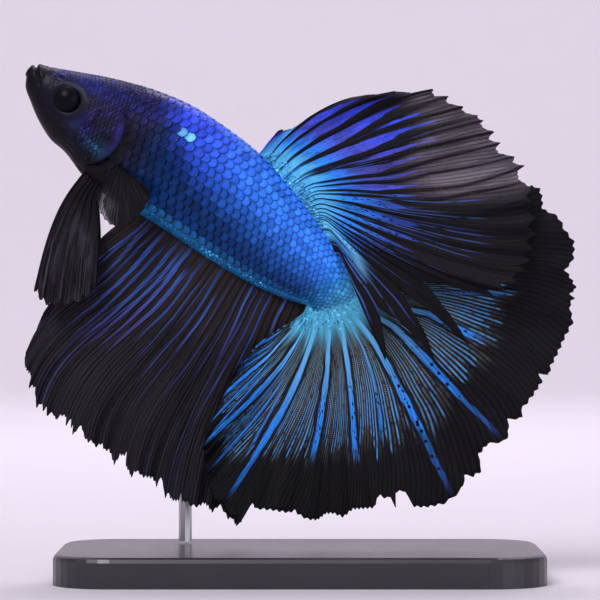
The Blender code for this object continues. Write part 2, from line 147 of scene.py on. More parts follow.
def table_at(table, x, y):
    """A table of values read between its entries, x down its rows and y along them, each 0 to 1."""
    rows, columns = table.shape
    x, y = np.broadcast_arrays(x, y)
    x = np.clip(x, 0, 1) * (rows - 1)
    y = np.clip(y, 0, 1) * (columns - 1)
    i, j = np.minimum(x.astype(int), rows - 2), np.minimum(y.astype(int), columns - 2)
    fx, fy = x - i, y - j
    near = table[i, j] * (1 - fy) + table[i, j + 1] * fy
    far = table[i + 1, j] * (1 - fy) + table[i + 1, j + 1] * fy
    return near * (1 - fx) + far * fx


def thousandths(width, numbers):
    """Whole thousandths as rows of that many numbers, or as one row where width is 1."""
    values = np.array(numbers) / 1000
    return values.reshape(-1, width) if width > 1 else values


def paint(red, green, blue):
    """A colour as seen on a display, 0 to 255, as linear light."""
    share = np.array([red, green, blue]) / 255
    return np.where(share <= 0.04045, share / 12.92, ((share + 0.055) / 1.055) ** 2.4)


def over(under, top, amount):
    """The colour top laid over the colour under by that amount."""
    return under + (top - under) * np.asarray(amount)[..., None]


def layered(colour, *coats):
    """Colours laid over one another in turn, each by its own amount."""
    for top, amount in coats:
        colour = over(colour, top, amount)
    return colour


# ---- meshes ----
def new_piece(name, points, corners, sizes, finish, tints=None, masks=None, maps=None):
    """A mesh from points in metres, its faces' corners in a row and each face's corner count."""
    mesh = bpy.data.meshes.new(name)
    mesh.vertices.add(len(points))
    mesh.vertices.foreach_set("co", np.asarray(points, np.float32).ravel())
    mesh.loops.add(len(corners))
    mesh.loops.foreach_set("vertex_index", np.asarray(corners, np.int32))
    mesh.polygons.add(len(sizes))
    starts = np.concatenate([[0], np.cumsum(sizes)[:-1]])
    mesh.polygons.foreach_set("loop_start", starts.astype(np.int32))
    mesh.update(calc_edges=True)
    mesh.polygons.foreach_set("use_smooth", np.ones(len(sizes), bool))
    if tints is not None:
        colours = np.concatenate([tints, np.ones((len(tints), 1))], axis=1).astype(np.float32)
        layer = mesh.attributes.new("tint", "FLOAT_COLOR", "POINT")
        layer.data.foreach_set("color", colours.ravel())
    for label, values in (masks or {}).items():
        layer = mesh.attributes.new(label, "FLOAT", "POINT")
        layer.data.foreach_set("value", np.asarray(values, np.float32).ravel())
    for label, places in (maps or {}).items():
        layer = mesh.uv_layers.new(name=label)
        layer.data.foreach_set("uv", np.asarray(places, np.float32).ravel())
    mesh.validate()
    mesh.materials.append(finish)
    obj = bpy.data.objects.new(name, mesh)
    bpy.context.scene.collection.objects.link(obj)
    return obj


def grid_quads(rows, columns, width):
    """The four corners of each cell of a grid whose rows hold width points."""
    i, j = np.meshgrid(np.arange(rows), np.arange(columns), indexing="ij")
    first = (i * width + j).ravel()
    return np.stack([first, first + 1, first + 1 + width, first + width], axis=1)


def closed_rings(rings, around):
    """Faces of rings of points closed by a pole at each end, and where their corners lie.

    The poles come after the rings' points. The places are each corner's share of the way from
    pole to pole and of the turn, for the quads and the two fans in the same order.
    """
    quads = grid_quads(rings - 1, around, around + 1)
    ring, step = np.divmod(quads, around + 1)
    lane = np.arange(around)
    beyond, last = (lane + 1) % around, (rings - 1) * around
    pole = np.full(around, rings * around)
    faces = [
        ring * around + step % around,
        np.stack([pole, beyond, lane], axis=1),
        np.stack([pole + 1, last + lane, last + beyond], axis=1),
    ]
    near = np.tile((-1, 0, 0), (around, 1)), np.stack([lane + 0.5, lane + 1, lane], axis=1)
    last_rows = np.tile((rings, rings - 1, rings - 1), (around, 1))
    far = last_rows, np.stack([lane + 0.5, lane, lane + 1], axis=1)
    return faces, [((row + 1) / (rings + 1), turn / around) for row, turn in ((ring, step), near, far)]


def face_rows(faces, maps):
    """Faces of several corner counts as one row of corners, with each face's count and map places."""
    corners = np.concatenate([f.ravel() for f in faces])
    sizes = np.concatenate([np.full(len(f), f.shape[1]) for f in faces])
    return corners, sizes, np.concatenate([m.reshape(-1, 2) for m in maps])


def grid_normals(points, wrapped=False):
    """Unit normals of a grid of points: the second direction's slope crossed with the first's."""
    down = np.gradient(points, axis=0)
    if wrapped:
        along = (np.roll(points, -1, axis=1) - np.roll(points, 1, axis=1)) / 2
    else:
        along = np.gradient(points, axis=1)
    normal = np.cross(along, down)
    return normal / np.maximum(np.linalg.norm(normal, axis=-1, keepdims=True), 1e-12)


# ---- the body's surface ----
def body_ring(place, turn):
    """(a, y, h) on the ellipse at that share of the stations.

    Turn 90 degrees is the back and 180 the left side. Level places go by the sine of the turn from
    the middle of back and belly, sideways ones by its cosine from the sideways place.
    """
    row = spline(STATIONS, place)
    back, belly = row[..., 0:2], row[..., 2:4]
    level = (back + belly) / 2 + (back - belly) / 2 * np.sin(turn)[..., None]
    across = row[..., 5] + row[..., 4] * np.cos(turn)
    return np.stack([level[..., 0], across, level[..., 1]], axis=-1)


def body_normal(place, turn):
    """Outward unit normals: the slope round the ring crossed with the slope along the body."""
    place, turn = np.broadcast_arrays(place, turn)
    step, swing = 0.004, 0.02
    around = body_ring(place, turn + swing) - body_ring(place, turn - swing)
    along = body_ring(np.minimum(place + step, 1), turn) - body_ring(np.maximum(place - step, 0), turn)
    normal = np.cross(around, along)
    return normal / np.linalg.norm(normal, axis=-1, keepdims=True)


def turn_table(places, steps):
    """For each place, the ring's turn past the back (0 to 180 degrees) at equal shares of arc length."""
    fine = np.linspace(0, math.pi, 361)
    ring = body_ring(places[:, None], math.pi / 2 + fine[None, :])
    lengths = np.linalg.norm(np.diff(ring, axis=1), axis=-1)
    arc = np.concatenate([np.zeros((len(places), 1)), np.cumsum(lengths, axis=1)], axis=1)
    shares = np.linspace(0, 1, steps)
    turns = np.stack([np.interp(shares * row[-1], row, fine) for row in arc])
    return turns, arc[:, -1]


PLACE_STEPS = np.linspace(0, 1, 241)
TURNS, HALF_GIRTHS = turn_table(PLACE_STEPS, 121)
MIDDLE_LINE = body_ring(PLACE_STEPS, np.zeros(241))[:, 0]


def place_at(a):
    """The share of the stations at which the body's middle line has passed a."""
    return np.interp(a, MIDDLE_LINE, PLACE_STEPS)


def half_girth(a):
    """The arc from back to belly where the middle line has passed a."""
    return np.interp(place_at(a), PLACE_STEPS, HALF_GIRTHS)


def turn_at(place, girth):
    """The ring's turn at a share of the half girth from the back: above 0 is left, below 0 right."""
    share = np.abs(girth)
    share = np.where(share > 1, 2 - share, share)
    turn = table_at(TURNS, place, share)
    turn = np.where(np.abs(girth) > 1, 2 * math.pi - turn, turn)
    return math.pi / 2 + np.sign(girth) * turn


def segment_distance(a, h, start, end):
    """How far (a, h) lies from a straight segment, and the share of the segment it lies beside."""
    run = end - start
    share = np.clip(((a - start[0]) * run[0] + (h - start[1]) * run[1]) / (run @ run), 0, 1)
    return np.hypot(a - start[0] - share * run[0], h - start[1] - share * run[1]), share


def gill_edge(a, h):
    """Signed distance past the gill cover's rear edge, and how much of that edge this direction has."""
    middle_a, middle_h, radius = GILL_ARC
    past = np.hypot(a - middle_a, h - middle_h) - radius
    angle = np.degrees(np.arctan2(h - middle_h, a - middle_a))
    return past, smooth(angle, -88, -62) * fade(angle, 25, 62)


def eye_distance(a, h):
    """Straight distance from the eye's middle in the side view."""
    return np.hypot(a - EYE_PLACE[0], h - EYE_PLACE[1])


def relief(a, y, h):
    """How far the skin stands off the body's plain form: the sum of its folds, rims and pits.

    Each one is a bell or an S-shaped step of the distance to a point, a segment or an arc in the
    side view, the same on both sides of the fish.
    """
    height = -SKIN_INSET_HEAD - (SKIN_INSET_TRUNK - SKIN_INSET_HEAD) * smooth(a, 6, 15)
    # The mouth: a slit between two lips that thin towards its corner.
    away, share = segment_distance(a, h, MOUTH_SLIT[0], MOUTH_SLIT[1])
    height -= 0.22 * bell(away, 0.15) * (1 - 0.5 * share)
    height += 0.13 * bell(away - 0.48, 0.30) * fade(share, 0.55, 1) * fade(a, 1.7, 2.3)
    # A crease behind each corner of the mouth, and the step where the upper lip meets the snout.
    away, share = segment_distance(a, h, MOUTH_SLIT[1], np.array([2.9, -1.9]))
    height -= 0.09 * bell(away, 0.14) * (1 - share)
    height -= 0.10 * bell(np.hypot(a - 1.6, (h - 2.0) / 1.6), 0.22)
    # Nostrils: a pit with a rim, and a short tube in front of it.
    away = np.hypot(a - 3.6, h - 1.9)
    height += 0.07 * bell(away - 0.3, 0.12) - 0.26 * bell(away, 0.2)
    height += 0.10 * bell(np.hypot(a - 2.75, h - 1.5), 0.15)
    # The orbit: a soft rim, a fold down to the eyeball, and the bed behind it.
    side = smooth(np.abs(y), 0.5, 1.2)
    away = eye_distance(a, h)
    height += side * (0.02 * bell(away - 2.4, 0.4) - 0.10 * fade(away, 1.5, 2.2))
    height -= side * 1.5 * fade(away, 1.25, 1.6)
    height -= side * 0.05 * bell(away - 2.9, 0.16) * smooth(-h, -0.6, 0.8)
    # The cheek's edge in front of the gill cover.
    away = np.hypot(a - 6.7, h - 0.2) - 3.35
    angle = np.degrees(np.arctan2(h - 0.2, a - 6.7))
    window = smooth(angle, -105, -80) * fade(angle, 15, 40) * side
    height += window * (0.06 * bell(away + 0.25, 0.22) - 0.10 * bell(away, 0.14))
    # The gill cover: its plate lifts towards its edge, and the skin steps down behind it.
    past, reach = gill_edge(a, h)
    height += side * reach * 0.20 * smooth(past, -2.2, -0.1) * fade(past, -0.05, 0.12)
    height -= side * reach**2 * 0.22 * smooth(past, -0.02, 0.2) * fade(past, 0.2, 1.3)
    # Folds of the gill membrane under the throat.
    for k in range(4):
        along = h + 2.6 + 0.55 * k + 0.18 * (a - 8)
        height -= 0.06 * bell(along, 0.10) * smooth(a, 4.5 + k, 7 + k) * fade(a, 11.5, 13.5) * side
    # The muscle pad that carries the pectoral fin.
    height += 0.16 * side * bell(np.hypot(a - 15.7, (h + 2.3) / 1.3), 0.75)
    return height


# ---- markings ----
INK = paint(22, 19, 36)
PITCH_BLACK = paint(17, 15, 20)
CROWN = paint(26, 28, 104)
NAPE = paint(20, 20, 82)
ROYAL = paint(51, 73, 226)
SKY = paint(50, 119, 232)
NAVY = paint(3, 41, 91)
TEAL = paint(30, 118, 172)
STRIP = paint(34, 124, 186)
VIOLET = paint(48, 44, 130)
SEA = paint(34, 84, 118)
PALE_CYAN = paint(110, 196, 240)
ICE = paint(98, 196, 234)


# The height shares from which the flank is bright, and fully so, at places along the body: partly the fish's
# own colouring, partly painted light falling from above.
BRIGHT_FROM = ((15, 20, 24, 30, 38), (0.58, 0.44, 0.30, 0.24, 0.12))
BRIGHT_FULL = ((15, 20, 24, 30, 38), (0.96, 0.95, 0.87, 0.84, 0.78))


def marking(a, h, share):
    """The fish's colour at (a, h), share being the height from belly 0 to back 1.

    Deep colour and bright colour both run from violet at the shoulder to sky blue at the tail, and
    bright lies over deep along the back: partly the fish's own colouring, partly painted light
    falling from above. The head's own patches are laid over both.
    """
    deep = over(INK, NAVY, smooth(a + 1.5 * (mottle(a, h, 15) - 0.5), 14.5, 21))
    bright = over(ROYAL, SKY, smooth(a, 17.5, 33))
    front = smooth(a - 13.4 - 11 * (1 - share) + 3 * (mottle(a * 0.9, h * 0.9, 12) - 0.5), -1.5, 6.5)
    low, high = np.interp(a, *BRIGHT_FROM), np.interp(a, *BRIGHT_FULL)
    # Bright over deep by height: partly the fish's own colouring, partly painted light from above.
    bright_and_painted_light = 0.03 + 0.97 * smooth(share, low, high)
    head = fade(a, 13.2, 15.6)
    patches = smooth(0.6 * mottle(a * 1.1 + 5, h * 1.1, 3) + 0.4 * mottle(a * 3, h * 3, 16), 0.25, 0.75)
    crown = head * smooth(share, 0.60, 0.82) * smooth(a, 1.9, 3.0) * fade(a, 9, 12.5)
    past, reach = gill_edge(a, h)
    behind_gill = bell(np.hypot((a - 12.2) / 1.8, h + 2.55), 1.0)
    return layered(
        over(deep, bright, front * bright_and_painted_light),
        # The tail root's paler scales and the bright strip along the belly.
        (TEAL, 0.75 * smooth(a, 41.5, 44.8) * (0.5 + 0.5 * mottle(a * 2.3, h * 2.3, 11))),
        (ICE, 0.5 * smooth(a, 44.0, 46.5)),
        (STRIP, fade(share, 0.06, 0.13) * smooth(a, 18.5, 21.5)),
        # Nape, crown, cheek and gill cover.
        (NAPE, 0.7 * smooth(share, 0.5, 0.8) * smooth(a, 9, 12) * fade(a, 15, 17)),
        (CROWN, crown * (0.3 + 0.7 * patches)),
        (VIOLET, 0.35 * head * patches * bell(share - 0.52, 0.16) * smooth(a, 8, 10)),
        (VIOLET, 0.55 * reach * bell(past + 0.45, 0.4) * bell(h - 0.4, 2.3)),
        (VIOLET, 0.4 * head * patches * bell(np.hypot(a - 9.3, h + 1.8), 1.8)),
        (SEA, (0.35 + 0.5 * mottle(a * 2.2, h * 2.2, 19)) * behind_gill),
        (SEA, 0.15 * bell(np.hypot(a - 8.5, (h + 2.0) / 0.7), 0.9)),
        # Black behind the gill cover, on the lips, under the throat and round the eye.
        (PITCH_BLACK, 0.85 * reach * smooth(past, -0.1, 0.1) * fade(past, 0.7, 2.2)),
        (PITCH_BLACK, 0.8 * fade(a, 1.6, 2.6)),
        (PITCH_BLACK, 0.8 * fade(a, 14.5, 18) * fade(share, 0.14, 0.3)),
        (0.5 * INK, 0.85 * fade(eye_distance(a, h), 1.8, 2.8)),
    )


# ---- skin ----
def skin_piece(finish):
    """One closed surface: rings along the stations, domed at both ends, moved out by the relief.

    The dome's rings shrink by the sine of their turn while they move out by its cosine.
    """
    head_end = float(place_at(SKIN_HEAD_END))
    head, trunk = np.linspace(0, head_end, HEAD_RINGS), np.linspace(head_end, 1, TRUNK_RINGS)
    places = np.concatenate([head, trunk[1:]])
    dome = np.radians(np.linspace(90, 0, DOME_RINGS))[1:-1]
    taper = np.cos(dome) ** 0.8
    scale = np.concatenate([taper, np.ones(len(places)), taper[::-1]])
    out = -SNOUT_DOME * np.sin(dome), np.zeros(len(places)), TAIL_DOME * np.sin(dome)[::-1]
    reach = np.concatenate(out)
    rows = np.concatenate([np.zeros(len(dome)), places, np.ones(len(dome))])
    turn = np.linspace(0, 2 * math.pi, SKIN_AROUND, endpoint=False)
    place, turn = np.meshgrid(rows, turn, indexing="ij")
    points = body_ring(place, turn)
    middle = points.mean(axis=1, keepdims=True)
    points = middle + (points - middle) * scale[:, None, None]
    points[..., 0] += reach[:, None]
    normal = grid_normals(points, wrapped=True)
    a, y, h = np.moveaxis(points, -1, 0)
    points = points + normal * (relief(a, y, h) * scale[:, None])[..., None]
    share = (1 + np.sin(turn)) / 2
    tints = marking(a, h, share).reshape(-1, 3) * 0.8
    poles = np.stack([points[0].mean(axis=0), points[-1].mean(axis=0)])
    poles[:, 0] += (-0.03, 0.02)
    vertices = np.concatenate([points.reshape(-1, 3), poles])
    tints = np.concatenate([tints, tints[[0, -1]]])
    faces, places = closed_rings(len(rows), SKIN_AROUND)
    maps = [np.stack([0.01 + 0.98 * along, round_it], axis=-1) for along, round_it in places]
    corners, sizes, bake = face_rows(faces, maps)
    return new_piece("skin", pitched(vertices), corners, sizes, finish, tints, maps={"OFBake": bake})


# ---- scales ----
VANE_ALONG = np.array([0.0, 0.40, 0.66, 0.88, 1.0])
VANE_ACROSS = np.linspace(-90, 90, 7)
VANE_BAKE_PATCH = 0.003
VANE_ROOT_DEPTH = 0.03
VANE_THICKNESS, VANE_FULL_LIFT = 0.045, 0.15  # vanes with less lift are thinner


def vane_template():
    """One scale as shares of its length, half width and lift, with its faces.

    Lines run from the root to a rear edge that is half an ellipse; the middle stands higher than
    the sides. The top's border is repeated below it, joined by a rim and closed by one face.
    """
    angle = np.radians(VANE_ACROSS)[:, None]
    along = VANE_ALONG[None, :] * (0.60 + 0.40 * np.cos(angle))
    across = np.sin(angle) * (0.80 + 0.20 * np.sin(math.pi * np.minimum(VANE_ALONG, 0.8))[None, :])
    rise = along**1.2 * (1 - 0.5 * across**2)
    across, rise = np.broadcast_to(across, along.shape), np.broadcast_to(rise, along.shape)
    lines, steps = along.shape
    quads = grid_quads(lines - 1, steps - 1, steps)[:, ::-1]
    border = np.concatenate([
        np.arange(lines) * steps,
        (lines - 1) * steps + np.arange(1, steps),
        np.arange(lines - 2, -1, -1) * steps + steps - 1,
        np.arange(steps - 2, 0, -1),
    ])
    below = lines * steps + np.arange(len(border))
    after = np.roll(np.arange(len(border)), -1)
    rim = np.stack([border, border[after], below[after], below], axis=1)
    corners = np.concatenate([quads.ravel(), rim.ravel(), below])
    sizes = np.concatenate([np.full(len(quads) + len(rim), 4), [len(border)]])
    shape = np.stack([v.ravel() for v in (along, across, rise)], axis=1)
    reach = np.broadcast_to(VANE_ALONG, along.shape)
    # Darker towards the rear edge and the sides: partly the scale's own dark outline, partly painted shade.
    edge = np.maximum(smooth(reach, 0.82, 1.0), smooth(np.abs(across), 0.72, 0.98))
    # Painted shadow of the scale in front, just past the part it overlaps.
    edge = np.maximum(edge, 0.5 * fade(reach, 0.42, 0.66))
    return shape, edge.ravel(), border, corners, sizes


def scales_piece(name, finish, sheet, roots, lengths, half_widths, lifts, tints, home, seed, rim=1.25):
    """Vanes laid on a surface: sheet gives the points and normals at (distance, across) from each root.

    A point's height is its vane's lift times its rise, less the depth at which roots are set. A
    vane's colour darkens towards its edges, and fully on its underside and rim wall: partly the
    scales' own dark outlines, partly painted shade. rim is how much darker the edge is than the middle.
    """
    shape, edge, border, corners, sizes = vane_template()
    along, across, rise = shape.T
    base, normal = sheet(roots, lengths[:, None] * along[None, :], half_widths[:, None] * across[None, :])
    top = base + normal * (lifts[:, None] * rise[None, :] - VANE_ROOT_DEPTH)[..., None]
    thickness = VANE_THICKNESS * np.minimum(lifts / VANE_FULL_LIFT, 1)
    bottom = top[:, border] - normal[:, border] * thickness[:, None, None]
    points = np.concatenate([top, bottom], axis=1)
    per, count = points.shape[1], len(roots)
    tone = np.random.default_rng(seed).uniform(0.78, 1.26, count)[:, None]
    # The underside and rim wall are darkened in full: painted shade.
    painted_shade = np.concatenate([edge, edge[border] * 0 + 1])[None, :]
    colours = tints[:, None, :] * (tone * (1.36 - rim * painted_shade))[..., None]
    all_corners = (np.arange(count)[:, None] * per + corners[None, :]).ravel()
    flat_along = np.concatenate([along, 1.2 + along[border] * 0.4])
    flat_across = np.concatenate([across, across[border]])
    patch = np.stack([flat_along, flat_across / 2], axis=1)[None, :] * VANE_BAKE_PATCH
    bake = (home[:, None, :] + patch).reshape(-1, 2)[all_corners]
    return new_piece(
        name, pitched(points.reshape(-1, 3)), all_corners, np.tile(sizes, count), finish,
        colours.reshape(-1, 3), None, {"OFBake": bake},
    )


def body_sheet(roots, along, across):
    """Where vanes rooted at (a, girth share) lie on the skin: its ring points moved out by the relief."""
    place = place_at(roots[:, :1] + along)
    share = roots[:, 1:] + across / np.interp(place, PLACE_STEPS, HALF_GIRTHS)
    turn = turn_at(place, share)
    base, normal = body_ring(place, turn), body_normal(place, turn)
    return base + normal * relief(base[..., 0], base[..., 1], base[..., 2])[..., None], normal


def body_home(roots):
    """A root's place on the skin's own unwrap: length along it, girth share across."""
    return np.stack([0.02 + 0.95 * roots[:, 0] / 50, 0.5 + 0.48 * roots[:, 1]], axis=1)


def rows_of_roots(rows, pitch, start, end, side, first=0):
    """Staggered rows of roots from start to end: steps grow with the girth, odd rows lag by half a step."""
    a = np.linspace(start, end, 600)
    girth = half_girth(a)
    step = pitch * (girth / HALF_GIRTHS.max()) ** 0.85 * (0.82 + 0.18 * smooth(a, 14, 22))
    count = np.concatenate([[0], np.cumsum((a[1] - a[0]) / step[:-1])])
    row, number = np.meshgrid(np.arange(first, rows), np.arange(int(count[-1])), indexing="ij")
    order = number + 0.5 * (row % 2)
    place = np.interp(order.ravel(), count, a)
    roots = np.stack([place, side * (row.ravel() + 0.5) / rows], axis=1)
    return roots, np.interp(place, a, step)


def visible_middle(roots, lengths):
    """(a, h, share of height) at the middle of what shows of each vane."""
    place = place_at(roots[:, 0] + 0.7 * lengths)
    turn = turn_at(place, roots[:, 1])
    point = body_ring(place, turn)
    return point[:, 0], point[:, 2], (1 + np.sin(turn)) / 2


def trunk_scales(side, name, finish):
    """The body's coat behind the gill opening, and the fine bright strip along the belly.

    A scale is kept by its place past the gill cover's edge and its share of the height; its size
    follows the step and the girth there, and its tint is the marking at its visible middle.
    """
    roots, step = rows_of_roots(TRUNK_ROWS, TRUNK_PITCH, 11.6, 47.2, side)
    rng = np.random.default_rng(21 if side > 0 else 22)
    roots = roots + rng.uniform(-0.05, 0.05, roots.shape) * (1.0, 0.06)
    lengths = 1.7 * step * rng.uniform(0.94, 1.06, len(step))
    a, h, share = visible_middle(roots, lengths)
    past, reach = gill_edge(a - 0.6 * lengths, h)
    behind = (past > 0.12 - 3.0 * fade(reach, 0.05, 0.3)) & (a > 12.2)
    keep = behind & ~((share < 0.16) & (a < 16.5)) & ((share > 0.085) | (a < 18.5))
    roots, lengths, step, a, h, share = (v[keep] for v in (roots, lengths, step, a, h, share))
    half_widths = 0.5 * 1.28 * half_girth(roots[:, 0]) / TRUNK_ROWS
    lifts = 0.14 * (step / TRUNK_PITCH) * rng.uniform(0.85, 1.15, len(step))
    tints = marking(a, h, share) * rng.uniform(0.86, 1.12, len(a))[:, None]
    if side > 0:
        # Two scales on this side turned pale cyan: painted glints.
        spot = np.argsort(np.hypot(a - 20.3, h - 5.5))[:2]
        tints[spot] = over(tints[spot], PALE_CYAN, (0.75, 0.4))

    strip, strip_step = rows_of_roots(STRIP_ROWS, STRIP_PITCH, 18.4, 44.6, side, first=33)
    strip = strip + rng.uniform(-0.08, 0.08, strip.shape) * (1.0, 0.05)
    # Two places along the strip are brightened: painted glints. The rest of the change from scale to scale is
    # random tone.
    painted_glint = bell(strip[:, 0] - 29.4, 0.9) + 0.6 * bell(strip[:, 0] - 37.0, 0.7)
    tone_and_painted_glint = rng.uniform(0.35, 1.2, len(strip)) * (1 + 2.4 * painted_glint)
    strip_tints = over(STRIP, PALE_CYAN, 0.3 * rng.random(len(strip)) ** 2) * tone_and_painted_glint[:, None]

    roots = np.concatenate([roots, strip])
    lengths = np.concatenate([lengths, 1.6 * strip_step])
    half_widths = np.concatenate([half_widths, 0.75 * half_girth(strip[:, 0]) / STRIP_ROWS])
    lifts = np.concatenate([lifts, rng.uniform(0.03, 0.07, len(strip))])
    tints = np.concatenate([tints, strip_tints])
    home = body_home(roots)
    return scales_piece(name, finish, body_sheet, roots, lengths, half_widths, lifts, tints, home, 31)


def head_scales(side, name, finish):
    """Small scales, nearly flush, over the crown, the cheek and the gill cover.

    A scale is kept by its place before the gill cover's edge, clear of eye, nostril and mouth.
    """
    roots, step = rows_of_roots(HEAD_ROWS, HEAD_PITCH, 2.3, 14.9, side)
    rng = np.random.default_rng(41 if side > 0 else 42)
    roots = roots + rng.uniform(-0.07, 0.07, roots.shape) * (1.0, 0.05)
    lengths = 1.75 * step
    a, h, share = visible_middle(roots, lengths)
    past, reach = gill_edge(a + 0.3 * lengths, h)
    keep = (past < -0.12 + 4.0 * fade(reach, 0.05, 0.3)) & ((h > 0) | (reach > 0.1)) & (a < 12.6)
    keep &= eye_distance(a, h) > 2.15 + 0.3 * lengths
    keep &= (share > 0.13 + 0.25 * smooth(-a, -7, -4)) & (a > 2.7)
    keep &= np.hypot(a - 3.6, h - 1.9) > 0.6
    roots, lengths, step, a, h, share = (v[keep] for v in (roots, lengths, step, a, h, share))
    half_widths = 0.5 * 1.42 * half_girth(roots[:, 0]) / HEAD_ROWS
    lifts = (0.06 + 0.05 * smooth(a, 6, 13)) * rng.uniform(0.85, 1.15, len(step))
    tints = 0.85 * marking(a, h, share) * rng.uniform(0.5, 1.4, len(step))[:, None]
    home = body_home(roots)
    return scales_piece(name, finish, body_sheet, roots, lengths, half_widths, lifts, tints, home, 51)


# ---- eyes ----
def eye_piece(side, name, finish):
    """A ball flattened across the fish, with the cornea's dome raised over the pupil.

    The surface turns about the line across the fish: radius by the sine of the angle from its
    front pole, depth by the cosine, plus a bell over the middle. Its own map holds that angle.
    """
    around, steps = 96, 48
    polar = np.linspace(0, math.pi, steps + 1)[1:-1]
    turn = np.linspace(0, 2 * math.pi, around, endpoint=False)
    polar, turn = np.meshgrid(polar, turn, indexing="ij")
    radius = EYE_RADIUS * np.sin(polar)
    ring = 0.018 * bell(polar - 0.98, 0.12) - 0.015 * bell(polar - 0.80, 0.08)
    depth = (EYE_HALF_DEPTH - 0.07 + ring) * np.cos(polar) + 0.10 * bell(polar, 0.62)
    a, h = EYE_PLACE[0] + radius * np.cos(turn), EYE_PLACE[1] + radius * np.sin(turn)
    points = np.stack([a, side * (EYE_OUT + depth), h], axis=-1)
    poles = np.array([
        (EYE_PLACE[0], side * (EYE_OUT + EYE_HALF_DEPTH + 0.03), EYE_PLACE[1]),
        (EYE_PLACE[0], side * (EYE_OUT - EYE_HALF_DEPTH + 0.07), EYE_PLACE[1]),
    ])
    faces, places = closed_rings(steps - 1, around)
    maps = [np.stack([round_it, along], axis=-1) for along, round_it in places]
    if side > 0:
        faces, maps = [f[:, ::-1] for f in faces], [m[:, ::-1] for m in maps]
    corners, sizes, bake = face_rows(faces, maps)
    vertices = np.concatenate([points.reshape(-1, 3), poles])
    return new_piece(name, pitched(vertices), corners, sizes, finish, maps={"OFBake": bake})


# ---- fins ----
def direction(degrees):
    """Unit vectors (a, h) at these angles above the body axis."""
    angle = np.radians(degrees)
    return np.stack([np.cos(angle), np.sin(angle)], axis=-1)


def ray_points(root, tip, leave_angle, arrive_angle, t):
    """Points along rays that leave root and reach tip at these angles (a Hermite curve)."""
    reach = np.linalg.norm(tip - root, axis=-1, keepdims=True)
    leave = direction(leave_angle) * reach
    arrive = direction(arrive_angle) * reach
    t = t[..., None]
    return (
        (2 * t**3 - 3 * t**2 + 1) * root
        + (t**3 - 2 * t**2 + t) * leave
        + (3 * t**2 - 2 * t**3) * tip
        + (t**3 - t**2) * arrive
    )


TAIL_BASE_SHARE = 13 / 15  # of the stations: the last two are the skin's own
PROFILE = spline(STATIONS, np.linspace(0, TAIL_BASE_SHARE, 300))
ROOT_CLEARANCE = 0.5


def profile_root(a, side):
    """Points and sideways places just off the back (side 1) or the belly (side -1)."""
    line = PROFILE[:, 0:2] if side > 0 else PROFILE[:, 2:4]
    h = np.interp(a, line[:, 0], line[:, 1]) + side * ROOT_CLEARANCE
    return np.stack([a, h], axis=-1), np.interp(a, line[:, 0], PROFILE[:, 5])


def ray_ribs(u, t, places, widths, splits, spread):
    """Raised rays, 0 to 1: one soft line at each place, in two and then in four past each split.

    A line's width shrinks by the square root of its count, and its branches part evenly by spread.
    """
    height = np.zeros(np.broadcast(u, t).shape)
    first, second = (smooth(t, s, s + 0.25) for s in splits)
    width = widths * (1 - 0.35 * first - 0.25 * second)
    for place in places:
        for fork in (-1, 1):
            for twig in (-1, 1):
                centre = place + spread * (fork * first / 2 + twig * second / 4)
                height = np.maximum(height, bell(u - centre, width))
    return height


def streak_mask(u, t, streaks, widen=1.0):
    """How strongly painted streaks cover (u, t): each is a crisp, ragged band about its line u(t).

    A streak, in thousandths, is its line's points (t, u in turn), its width at both ends, the t at
    which it starts and ends, and its strength.
    """
    cover = np.zeros(np.broadcast(u, t).shape)
    for number, (line, *measures) in enumerate(streaks):
        line = thousandths(2, line)
        width_start, width_end, start, end, strength = thousandths(1, measures)
        centre = np.interp(t, line[:, 0], line[:, 1]) + 0.0015 * (mottle(t * 16, number * 3.0, 17) - 0.5)
        width = width_start + (width_end - width_start) * smooth(t, start, end)
        width = width * widen * (0.52 + 0.2 * mottle(t * 30, number * 5.0, 18))
        window = smooth(t, start - 0.05, start + 0.05) * fade(t, end - 0.1, end + 0.02)
        cover = np.maximum(cover, strength * window * smooth(1.15 - np.abs(u - centre) / width, 0, 0.3))
    return cover


def gap_share(u, t, lines):
    """0 on a ray and 1 midway between two neighbouring rays, each ray following its own line u(t).

    Lines are points in thousandths, t and u in turn.
    """
    left = np.full(np.broadcast(u, t).shape, 0.2)
    right = left.copy()
    for line in lines:
        line = thousandths(2, line)
        offset = u - np.interp(t, line[:, 0], line[:, 1])
        left = np.where(offset >= 0, np.minimum(left, offset), left)
        right = np.where(offset < 0, np.minimum(right, -offset), right)
    return 2 * np.minimum(left, right) / (left + right)


def rim_profile(u, marks):
    """The share of its length that each ray keeps, through given (u, share) marks of its rim."""
    return np.interp(u, marks[:, 0], marks[:, 1])


ROOT_SWELL = 0.16  # half thickness added at the very root
ROOT_SWELL_REACH = 0.07  # the share of a ray over which it fades


